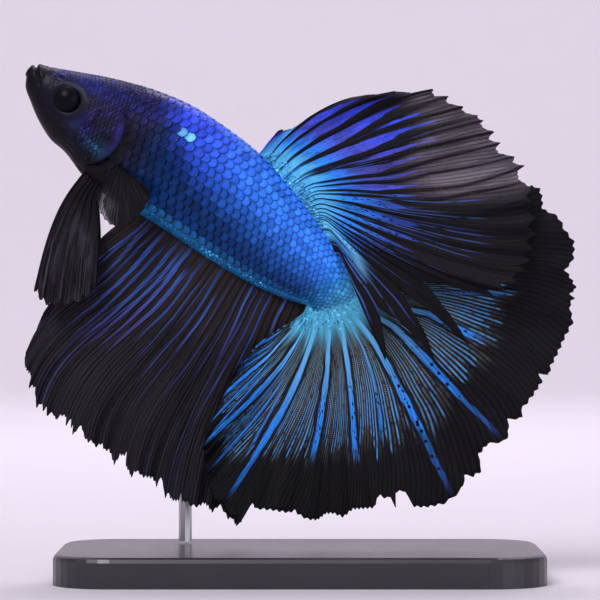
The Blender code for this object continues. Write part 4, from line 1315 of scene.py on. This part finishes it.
def fin_scales(fin, name, finish, rows, pitch, reach, span, seed):
    """Small bright scales over a fin's root on both faces, staggered, thinning out along the rays.

    A vane rooted at (u, distance along the ray, face) lies on the slab's face; the slab's normal is
    the slope along the rays crossed with the slope across them.
    """
    rng = np.random.default_rng(seed)
    count = int(reach / pitch)
    row, number, face = np.meshgrid(np.arange(rows), np.arange(count), (-1.0, 1.0), indexing="ij")
    u = span[0] + (span[1] - span[0]) * (row.ravel() + 0.5 + rng.uniform(-0.25, 0.25, row.size)) / rows
    distance = pitch * (number.ravel() + 0.5 * (row.ravel() % 2) + rng.uniform(0, 0.4, row.size))
    keep = rng.random(row.size) > smooth(distance, 0.55 * reach, reach)
    roots = np.stack([u, distance, face.ravel()], axis=1)[keep]

    def sheet(roots, along, across):
        """Points and normals on a root's face: across turns into u by the web's width there, along into t."""
        rooted = roots[:, 0]
        length = fin.surface(rooted, rooted * 0)[2]
        out = roots[:, 1] / length
        inner = np.where(rooted > 0.5, rooted - 0.02, rooted + 0.02)
        gap = fin.surface(inner, out / fin.trim(inner))[0] - fin.surface(rooted, out / fin.trim(rooted))[0]
        per_unit = np.linalg.norm(gap, axis=1) / 0.02
        u = np.clip(roots[:, :1] + across * roots[:, 2:] / per_unit[:, None], 0.003, 0.997)
        t = np.maximum(roots[:, 1:2] + along, 0) / length[:, None] / fin.trim(u)
        points, share, _ = fin.surface(u, t)
        step_u, step_t = 0.002, 0.01
        by_t = fin.surface(u, t + step_t)[0] - points
        by_u = fin.surface(u + step_u, t)[0] - fin.surface(u - step_u, t)[0]
        normal = np.cross(by_t, by_u)
        normal = normal / np.linalg.norm(normal, axis=-1, keepdims=True) * roots[:, 2][:, None, None]
        return points + normal * (fin.half_thickness(share, fin.ribs(u, share)) + 0.01)[..., None], normal

    tone = rng.uniform(0.8, 1.12, len(roots))
    tints = over(TEAL, ICE, 0.25 + 0.6 * rng.random(len(roots))) * tone[:, None]
    size = pitch * rng.uniform(0.85, 1.15, len(roots))
    home = np.stack([0.02 + 0.9 * roots[:, 0], 0.5 + 0.06 * roots[:, 2] * (1 + roots[:, 1])], axis=1)
    lifts = 0.026 + 0.018 * rng.random(len(roots))
    lengths, half_widths = 1.5 * size, -0.62 * size
    # rim 0.6: lighter painted shade at the edges of these small scales.
    return scales_piece(
        name, finish, sheet, roots, lengths, half_widths, lifts, tints, home, seed + 1, rim=0.6)


# ---- shader groups and materials ----
# How far each finish's finest relief stands out, in metres.
FLESH_GRAIN, WEB_RELIEF, STAND_GRAIN = 0.00006, 0.00008, 0.00005


def add_node(tree, kind, inputs=None, **settings):
    """A node with its settings made and each named or numbered input linked or set."""
    made = tree.nodes.new(kind)
    for key, value in settings.items():
        setattr(made, key, value)
    for socket, value in (inputs or {}).items():
        if isinstance(value, bpy.types.NodeSocket):
            tree.links.new(value, made.inputs[socket])
        else:
            made.inputs[socket].default_value = value
    return made


def sums(tree, operation, first, second=0.0, third=0.0, clamp=False):
    """One arithmetic node of up to three values."""
    values = {0: first, 1: second, 2: third}
    return add_node(tree, "ShaderNodeMath", values, operation=operation, use_clamp=clamp).outputs[0]


def rest(tree, value):
    """What a value leaves of 1."""
    return sums(tree, "SUBTRACT", 1.0, value)


def mixed(tree, share, first, second, way="MIX"):
    """Two colours mixed by a share."""
    made = add_node(tree, "ShaderNodeMix", {0: share, 6: first, 7: second}, data_type="RGBA", blend_type=way)
    return made.outputs[2]


def noise(tree, place, scale, detail=2.0, rough=0.5):
    """Noise from 0 to 1, its middle at 0.5."""
    values = {"Vector": place, "Scale": scale, "Detail": detail, "Roughness": rough}
    return add_node(tree, "ShaderNodeTexNoise", values).outputs["Fac"]


def times_vector(tree, place, factors):
    """A vector's three parts multiplied by three numbers."""
    return add_node(tree, "ShaderNodeVectorMath", {0: place, 1: factors}, operation="MULTIPLY").outputs[0]


def tinted(tree, colour, gain):
    """A colour multiplied by a number on all three channels."""
    grey = add_node(tree, "ShaderNodeCombineColor", {0: gain, 1: gain, 2: gain}).outputs[0]
    return mixed(tree, 1.0, colour, grey, "MULTIPLY")


def new_group(name, inputs, outputs):
    """An empty shader group and its inputs: a number is a default, a word the kind of socket."""
    tree = bpy.data.node_groups.new(name, "ShaderNodeTree")
    for label, kind in inputs.items():
        plain = isinstance(kind, float)
        socket_type = "NodeSocketFloat" if plain else f"NodeSocket{kind}"
        socket = tree.interface.new_socket(label, in_out="INPUT", socket_type=socket_type)
        if plain:
            socket.default_value = kind
    for label, kind in outputs.items():
        tree.interface.new_socket(label, in_out="OUTPUT", socket_type=f"NodeSocket{kind}")
    return tree, add_node(tree, "NodeGroupInput").outputs


def living_colour_group():
    """Base colour broken up by soft patches and fine pigment grains, and a height for the grains."""
    tree, given = new_group(
        "living_colour",
        {"Colour": "Color", "Place": "Vector", "Patch Size": 900.0, "Grain Size": 7000.0, "Strength": 0.3},
        {"Colour": "Color", "Height": "Float", "Gloss Break": "Float"},
    )
    patch = noise(tree, given["Place"], given["Patch Size"], 3.0)
    grain = noise(tree, given["Place"], given["Grain Size"], 2.0, 0.7)
    both = sums(tree, "ADD", sums(tree, "MULTIPLY", patch, 1.2), sums(tree, "MULTIPLY", grain, 0.8))
    swing = sums(tree, "MULTIPLY", sums(tree, "SUBTRACT", both, 1.0), given["Strength"])
    colour = tinted(tree, given["Colour"], sums(tree, "ADD", swing, 1.0))
    add_node(tree, "NodeGroupOutput", {"Colour": colour, "Height": grain, "Gloss Break": patch})
    return tree


def fin_web_group():
    """Lanes along the rays, each with a dark border, a broken hair line and specks; dots on top.

    Lines counts the lanes across the fin. A lane's hair line shows where the Hair mask passes the
    lane's own random share. Specks are dashes at an even step that drop out by a noise. Dots are
    the cores of stretched Voronoi cells.
    """
    tree, given = new_group(
        "fin_web",
        {"Tint": "Color", "Rays Map": "Vector", "Hair": 0.0, "Net": 0.0, "Dots": 0.0, "Veil": 1.0,
         "Hair Near": "Color", "Hair Far": "Color", "Speck Warm": "Color", "Speck Cool": "Color",
         "Lines": 120.0, "Line Depth": 0.5, "Dash Rate": 20.0, "Speck Rate": 100.0, "Slant": 0.0},
        {"Colour": "Color", "Alpha": "Float", "Height": "Float"},
    )

    def stretched(u_scale, t_scale):
        """The rays map with its u and t multiplied."""
        return times_vector(tree, given["Rays Map"], (u_scale, t_scale, 1.0))

    def ramp(value, low, high):
        """An S-shaped rise from 0 at low to 1 at high."""
        limits = {0: value, 1: low, 2: high}
        return add_node(tree, "ShaderNodeMapRange", limits, interpolation_type="SMOOTHSTEP").outputs[0]

    def product(first, *others):
        """All of them multiplied."""
        for other in others:
            first = sums(tree, "MULTIPLY", first, other)
        return first

    def per_lane(along, step):
        """A noise along t that differs from lane to lane."""
        values = {0: product(lane, step), 1: product(t, along)}
        return noise(tree, add_node(tree, "ShaderNodeCombineXYZ", values).outputs[0], 1.0, 1.0)

    split = add_node(tree, "ShaderNodeSeparateXYZ", {0: given["Rays Map"]}).outputs
    t = split[1]
    drift = sums(tree, "SUBTRACT", noise(tree, stretched(13.0, 3.0), 1.0, 1.0), 0.5)
    slanted = sums(tree, "MULTIPLY_ADD", t, given["Slant"], split[0])
    lanes = product(sums(tree, "MULTIPLY_ADD", drift, 0.014, slanted), given["Lines"])
    lane = sums(tree, "FLOOR", lanes)
    offset = sums(tree, "ABSOLUTE", sums(tree, "MULTIPLY_ADD", sums(tree, "FRACT", lanes), 2.0, -1.0))
    ridge = rest(tree, offset)
    draw = add_node(tree, "ShaderNodeTexWhiteNoise", {"W": lane}, noise_dimensions="1D").outputs["Color"]
    draw = add_node(tree, "ShaderNodeSeparateColor", {0: draw}).outputs

    groove = rest(tree, ramp(ridge, 0.0, 0.45))
    dark = rest(tree, product(groove, given["Line Depth"]))
    colour = tinted(tree, given["Tint"], dark)

    beat = sums(tree, "FRACT", sums(tree, "MULTIPLY_ADD", t, given["Speck Rate"], product(draw[2], 7.0)))
    beat = rest(tree, sums(tree, "ABSOLUTE", sums(tree, "MULTIPLY_ADD", beat, 2.0, -1.0)))
    speck = product(ramp(beat, 0.2, 0.7), ramp(ridge, 0.2, 0.7), ramp(per_lane(34.0, 5.1), 0.28, 0.50))
    hue = ramp(noise(tree, stretched(170.0, 22.0), 1.0, 2.0), 0.42, 0.6)
    speck_colour = mixed(tree, hue, given["Speck Warm"], given["Speck Cool"])
    colour = mixed(tree, product(speck, given["Net"]), colour, speck_colour)

    shown = ramp(sums(tree, "MULTIPLY_ADD", draw[0], -0.85, given["Hair"]), 0.0, 0.12)
    gain = sums(tree, "MULTIPLY_ADD", draw[1], 0.6, 0.4)
    hair = product(shown, ramp(ridge, 0.40, 0.85), ramp(per_lane(given["Dash Rate"], 7.3), 0.26, 0.48), gain)
    far = product(ramp(t, 0.25, 0.55), sums(tree, "MULTIPLY_ADD", draw[2], -0.6, 1.0))
    hair_colour = mixed(tree, far, given["Hair Near"], given["Hair Far"])
    colour = mixed(tree, hair, colour, hair_colour)

    cells = add_node(tree, "ShaderNodeTexVoronoi", {"Vector": stretched(120.0, 34.0), "Scale": 1.0})
    core = rest(tree, ramp(cells.outputs["Distance"], 0.26, 0.36))
    dot = product(core, given["Dots"])
    colour = mixed(tree, dot, colour, (0.004, 0.004, 0.006, 1.0))

    unveiled = rest(tree, given["Veil"])
    clear = product(unveiled, rest(tree, product(groove, 0.8)))
    alpha = sums(tree, "SUBTRACT", 1.0, clear, clamp=True)
    height = sums(tree, "MULTIPLY_ADD", speck, 0.35, product(ridge, 0.65))
    add_node(tree, "NodeGroupOutput", {"Colour": colour, "Alpha": alpha, "Height": height})
    return tree


def worn_finish_group():
    """A made thing's finish: broad clouds and a fine grain that vary its colour, gloss and height."""
    tree, given = new_group(
        "worn_finish",
        {"Colour": "Color", "Place": "Vector", "Grain": 900.0, "Strength": 0.15},
        {"Colour": "Color", "Roughness Swing": "Float", "Height": "Float"},
    )
    cloud = noise(tree, given["Place"], 60.0, 4.0)
    fine = noise(tree, given["Place"], given["Grain"], 3.0, 0.6)
    both = sums(tree, "SUBTRACT", sums(tree, "ADD", cloud, fine), 1.0)
    gain = sums(tree, "ADD", sums(tree, "MULTIPLY", both, given["Strength"]), 1.0)
    colour = tinted(tree, given["Colour"], gain)
    add_node(tree, "NodeGroupOutput", {"Colour": colour, "Roughness Swing": both, "Height": fine})
    return tree


def new_material(name, **settings):
    """A material with its Principled shader's plain sockets set; returns it, its tree and the shader."""
    made = bpy.data.materials.new(name)
    made.use_nodes = True
    tree = made.node_tree
    shader = tree.nodes["Principled BSDF"]
    for label, value in settings.items():
        shader.inputs[label.replace("_", " ")].default_value = value
    return made, tree, shader


def use_group(tree, group, inputs):
    """The outputs of a shader group whose named inputs are linked or set."""
    return add_node(tree, "ShaderNodeGroup", inputs, node_tree=group).outputs


def bumped(tree, shader, height, strength, distance):
    """Turns the shader's normal by the slope of a height."""
    bump = add_node(tree, "ShaderNodeBump", {"Height": height, "Strength": strength, "Distance": distance})
    tree.links.new(bump.outputs["Normal"], shader.inputs["Normal"])


def attribute(tree, name, output="Fac"):
    """The piece's attribute of that name, as a number or a colour."""
    return add_node(tree, "ShaderNodeAttribute", attribute_name=name).outputs[output]


def object_place(tree):
    """The place in the finished piece's own space, in metres."""
    return add_node(tree, "ShaderNodeTexCoord").outputs["Object"]


def flesh_material(name, group, roughness, metallic, coat, strength, bump):
    """Skin or scales: the piece's tint through the living colour group, wet and slightly metallic."""
    made, tree, shader = new_material(
        name, Metallic=metallic, Coat_Weight=coat, Coat_Roughness=0.12, Specular_IOR_Level=0.1)
    place = object_place(tree)
    tint = attribute(tree, "tint", "Color")
    parts = use_group(tree, group, {"Colour": tint, "Place": place, "Strength": strength})
    tree.links.new(parts["Colour"], shader.inputs["Base Color"])
    limits = {0: parts["Gloss Break"], 1: 0.3, 2: 0.7, 3: roughness - 0.07, 4: roughness + 0.1}
    rough = add_node(tree, "ShaderNodeMapRange", limits)
    tree.links.new(rough.outputs[0], shader.inputs["Roughness"])
    bumped(tree, shader, parts["Height"], bump, FLESH_GRAIN)
    return made


def fin_material(name, group, near, far, warm, cool, lines, depth, dash_rate, speck_rate, slant=0.0):
    """A fin's web: tint, hair lines, specks and opacity through the fin web group, on a satin shader.

    Rates count along a ray and lines across the fin; slant leans the lanes by a share of t.
    """
    made, tree, shader = new_material(name, Metallic=0.08, Roughness=0.6, Specular_IOR_Level=0.1)
    rays_map = add_node(tree, "ShaderNodeUVMap", uv_map="rays").outputs[0]
    parts = use_group(tree, group, {
        "Tint": attribute(tree, "tint", "Color"), "Rays Map": rays_map,
        **{label: attribute(tree, label.lower()) for label in ("Hair", "Net", "Dots", "Veil")},
        "Hair Near": (*near, 1.0), "Hair Far": (*far, 1.0),
        "Speck Warm": (*warm, 1.0), "Speck Cool": (*cool, 1.0), "Lines": lines, "Line Depth": depth,
        "Dash Rate": dash_rate, "Speck Rate": speck_rate, "Slant": slant,
    })
    tree.links.new(parts["Colour"], shader.inputs["Base Color"])
    tree.links.new(parts["Alpha"], shader.inputs["Alpha"])
    bumped(tree, shader, parts["Height"], 0.5, WEB_RELIEF)
    return made


def eye_material():
    """Jet pupil, a hardly lighter iris with fine radial threads, and black round it, faintly wet.

    The piece's own map gives the turn in u and the angle from the front pole in v.
    """
    made, tree, shader = new_material(
        "eye_gloss", Roughness=0.34, Coat_Weight=0.03, Coat_Roughness=0.08, Specular_IOR_Level=0.04)
    spot = add_node(tree, "ShaderNodeUVMap", uv_map="OFBake").outputs[0]
    angle = add_node(tree, "ShaderNodeSeparateXYZ", {0: spot}).outputs[1]
    streak = noise(tree, times_vector(tree, spot, (90.0, 14.0, 1.0)), 1.0, 3.0, 0.6)
    ramp = add_node(tree, "ShaderNodeValToRGB", {0: angle})
    stops = ((0.0, (0.003, 0.003, 0.005)), (0.245, (0.004, 0.004, 0.007)), (0.262, (0.005, 0.004, 0.009)),
             (0.33, (0.005, 0.004, 0.009)), (0.40, (0.006, 0.005, 0.011)), (1.0, (0.005, 0.004, 0.008)))
    while len(ramp.color_ramp.elements) < len(stops):
        ramp.color_ramp.elements.new(0.5)
    for element, (place, colour) in zip(ramp.color_ramp.elements, stops):
        element.position = place
        element.color = (*colour, 1.0)
    gain = sums(tree, "ADD", sums(tree, "MULTIPLY", streak, 1.6), 0.2)
    tree.links.new(tinted(tree, ramp.outputs[0], gain), shader.inputs["Base Color"])
    return made


def stand_material(name, group, colour, grain, strength, roughness, stretch, **settings):
    """Lacquer or steel: a plain colour through the worn finish group, its grain stretched by Mapping."""
    made, tree, shader = new_material(name, **settings)
    place = object_place(tree)
    place = add_node(tree, "ShaderNodeMapping", {"Vector": place, "Scale": stretch}).outputs[0]
    parts = use_group(tree, group, {
        "Colour": (*colour, 1.0), "Place": place, "Grain": grain, "Strength": strength})
    tree.links.new(parts["Colour"], shader.inputs["Base Color"])
    rough = sums(tree, "ADD", sums(tree, "MULTIPLY", parts["Roughness Swing"], 0.12), roughness, clamp=True)
    tree.links.new(rough, shader.inputs["Roughness"])
    bumped(tree, shader, parts["Height"], 0.15, STAND_GRAIN)
    return made


# ---- the model ----
living, webbed, worn = living_colour_group(), fin_web_group(), worn_finish_group()
skin_finish = flesh_material("wet_skin", living, 0.45, 0.15, 0.05, 0.5, 0.6)
scale_finish = flesh_material("scale_shell", living, 0.36, 0.35, 0.06, 0.35, 0.35)
head_finish = flesh_material("head_shell", living, 0.52, 0.12, 0.0, 0.45, 0.35)
eye_finish = eye_material()
# Fin webs: hair near and far, specks warm and cool; lines, their depth, dash and speck rates, slant.
tail_finish = fin_material(
    "tail_web", webbed, paint(92, 144, 168), paint(66, 146, 222), paint(128, 116, 100),
    paint(92, 142, 150), 156.0, 0.55, 15.0, 104.0, 0.07,
)
back_finish = fin_material(
    "back_fin_web", webbed, paint(66, 104, 176), paint(48, 50, 112), paint(92, 84, 96),
    paint(70, 66, 80), 104.0, 0.13, 11.0, 80.0,
)
anal_finish = fin_material(
    "anal_fin_web", webbed, FIN_BLUE, DULL_VIOLET, paint(62, 54, 56),
    paint(48, 48, 60), 96.0, 0.5, 6.0, 90.0,
)
small_finish = fin_material(
    "small_fin_web", webbed, paint(58, 54, 64), paint(70, 64, 76), paint(60, 54, 64),
    paint(44, 42, 54), 26.0, 0.4, 8.0, 40.0,
)
lacquer = stand_material(
    "satin_lacquer", worn, paint(38, 36, 40), 1400.0, 0.25, 0.38, (1, 1, 1), Coat_Weight=0.2)
steel = stand_material(
    "brushed_steel", worn, paint(176, 176, 180), 2600.0, 0.35, 0.30, (1, 1, 0.06), Metallic=1.0)

skin = skin_piece(skin_finish)
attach(skin, "root")
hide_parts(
    "head", "lower_jaw", "gill_cover_left", "gill_cover_right",
    "trunk_front", "trunk_rear", "tail_stalk",
)

for side, word in ((1, "left"), (-1, "right")):
    for piece in (
        trunk_scales(side, f"trunk_scales_{word}", scale_finish),
        head_scales(side, f"head_scales_{word}", head_finish),
    ):
        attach(piece, "root")
    eye = eye_piece(-side, f"eye_{word}_gloss", eye_finish)
    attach(eye, "root")
    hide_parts(f"eye_{word}")

# Fins with scales over their roots: rows, pitch and reach in millimetres, the span of u, and a seed.
FIN_COATS = {
    "caudal_fin": (34, 0.36, 3.4, (0.0, 0.99), 91),
    "dorsal_fin": (60, 0.36, 1.3, (0.06, 0.93), 95),
}
for node, fin, finish in (
    ("caudal_fin", CaudalFin(), tail_finish),
    ("dorsal_fin", DorsalFin(), back_finish),
    ("anal_fin", AnalFin(), anal_finish),
    ("pelvic_fin_left", PelvicFin(-1), small_finish),
    ("pelvic_fin_right", PelvicFin(1), small_finish),
    ("pectoral_fin_left", PectoralFin(-1), small_finish),
    ("pectoral_fin_right", PectoralFin(1), small_finish),
):
    web = fin.build(f"{node}_web", finish)
    if node in FIN_COATS:
        coat = fin_scales(fin, f"{node}_scales", scale_finish, *FIN_COATS[node])
        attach(coat, "root")
    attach(web, "root")
    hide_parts(node)

for node, finish in (("stand_base", lacquer), ("stand_rod", steel)):
    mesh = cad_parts[node].data
    mesh.materials.clear()
    mesh.materials.append(finish)


# ---- floor, light and camera ----
def studio_bowl(radius, bend, height):
    """A round floor that curves up into a wall: a flat run, a quarter turn and a rise, spun about z."""
    quarter = np.radians(np.linspace(0, 90, 25))
    around, flat_rings = 128, 12
    flat = np.linspace(0.02, radius - bend, flat_rings)
    r = np.concatenate([flat, radius - bend + bend * np.sin(quarter[1:]), [radius]])
    z = np.concatenate([np.zeros(flat_rings), bend - bend * np.cos(quarter[1:]), [height]])
    turn = np.linspace(0, 2 * math.pi, around, endpoint=False)
    rise = np.repeat(z[:, None], around, axis=1)
    points = np.stack([r[:, None] * np.cos(turn), r[:, None] * np.sin(turn), rise], axis=-1)
    quads = grid_quads(len(r) - 1, around, around + 1)
    row, column = np.divmod(quads, around + 1)
    corners = np.concatenate([(row * around + column % around)[:, ::-1].ravel(), np.arange(around)])
    sizes = np.concatenate([np.full(len(quads), 4), [around]])
    made, tree, shader = new_material("paper_floor", Roughness=0.9)
    place = object_place(tree)
    parts = use_group(tree, worn, {
        "Colour": (*paint(194, 188, 197), 1.0), "Place": place, "Grain": 400.0, "Strength": 0.03})
    tree.links.new(parts["Colour"], shader.inputs["Base Color"])
    return new_piece("studio_floor", points.reshape(-1, 3), corners, sizes, made)


def soft_light(name, place, size, power, colour, target=(0.0, 0.0, 0.035)):
    """A square area light at a place, facing the target."""
    data = bpy.data.lights.new(name, "AREA")
    data.size, data.energy, data.color = size, power, colour
    obj = bpy.data.objects.new(name, data)
    bpy.context.scene.collection.objects.link(obj)
    away = np.array(place) - np.array(target)
    flat = math.hypot(away[0], away[1])
    obj.location = place
    obj.rotation_euler = (math.atan2(flat, away[2]), 0.0, math.atan2(away[0], -away[1]))
    return obj


studio_bowl(1.3, 0.5, 1.4)
soft_light("key", (-0.22, -0.42, 0.50), 0.30, 3.4, (1.0, 0.98, 1.0))
soft_light("fill", (0.45, -0.45, 0.15), 0.35, 0.9, (0.92, 0.94, 1.0))
soft_light("crest", (0.05, 0.30, 0.55), 0.30, 1.6, (0.96, 0.94, 1.0))
soft_light("wall_wash", (0.0, 0.35, 0.85), 0.50, 9.0, (1.0, 0.97, 1.0), target=(0.0, 1.3, 0.35))

world = bpy.data.worlds.new("studio")
world.use_nodes = True
background = world.node_tree.nodes["Background"].inputs
background["Color"].default_value = (0.86, 0.84, 0.90, 1.0)
background["Strength"].default_value = 0.7
bpy.context.scene.world = world
bpy.context.scene.view_settings.view_transform = "Standard"

CAMERA_DISTANCE = 0.400
CAMERA_HEIGHT = 0.03336
lens = bpy.data.cameras.new("camera")
lens.lens, lens.sensor_width = 200.0, 36.0
lens.clip_start, lens.clip_end = 0.01, 20.0
camera = bpy.data.objects.new("camera", lens)
camera.location = (0.0, -CAMERA_DISTANCE, CAMERA_HEIGHT)
camera.rotation_euler = (math.radians(90), 0.0, 0.0)
bpy.context.scene.collection.objects.link(camera)
bpy.context.scene.camera = camera
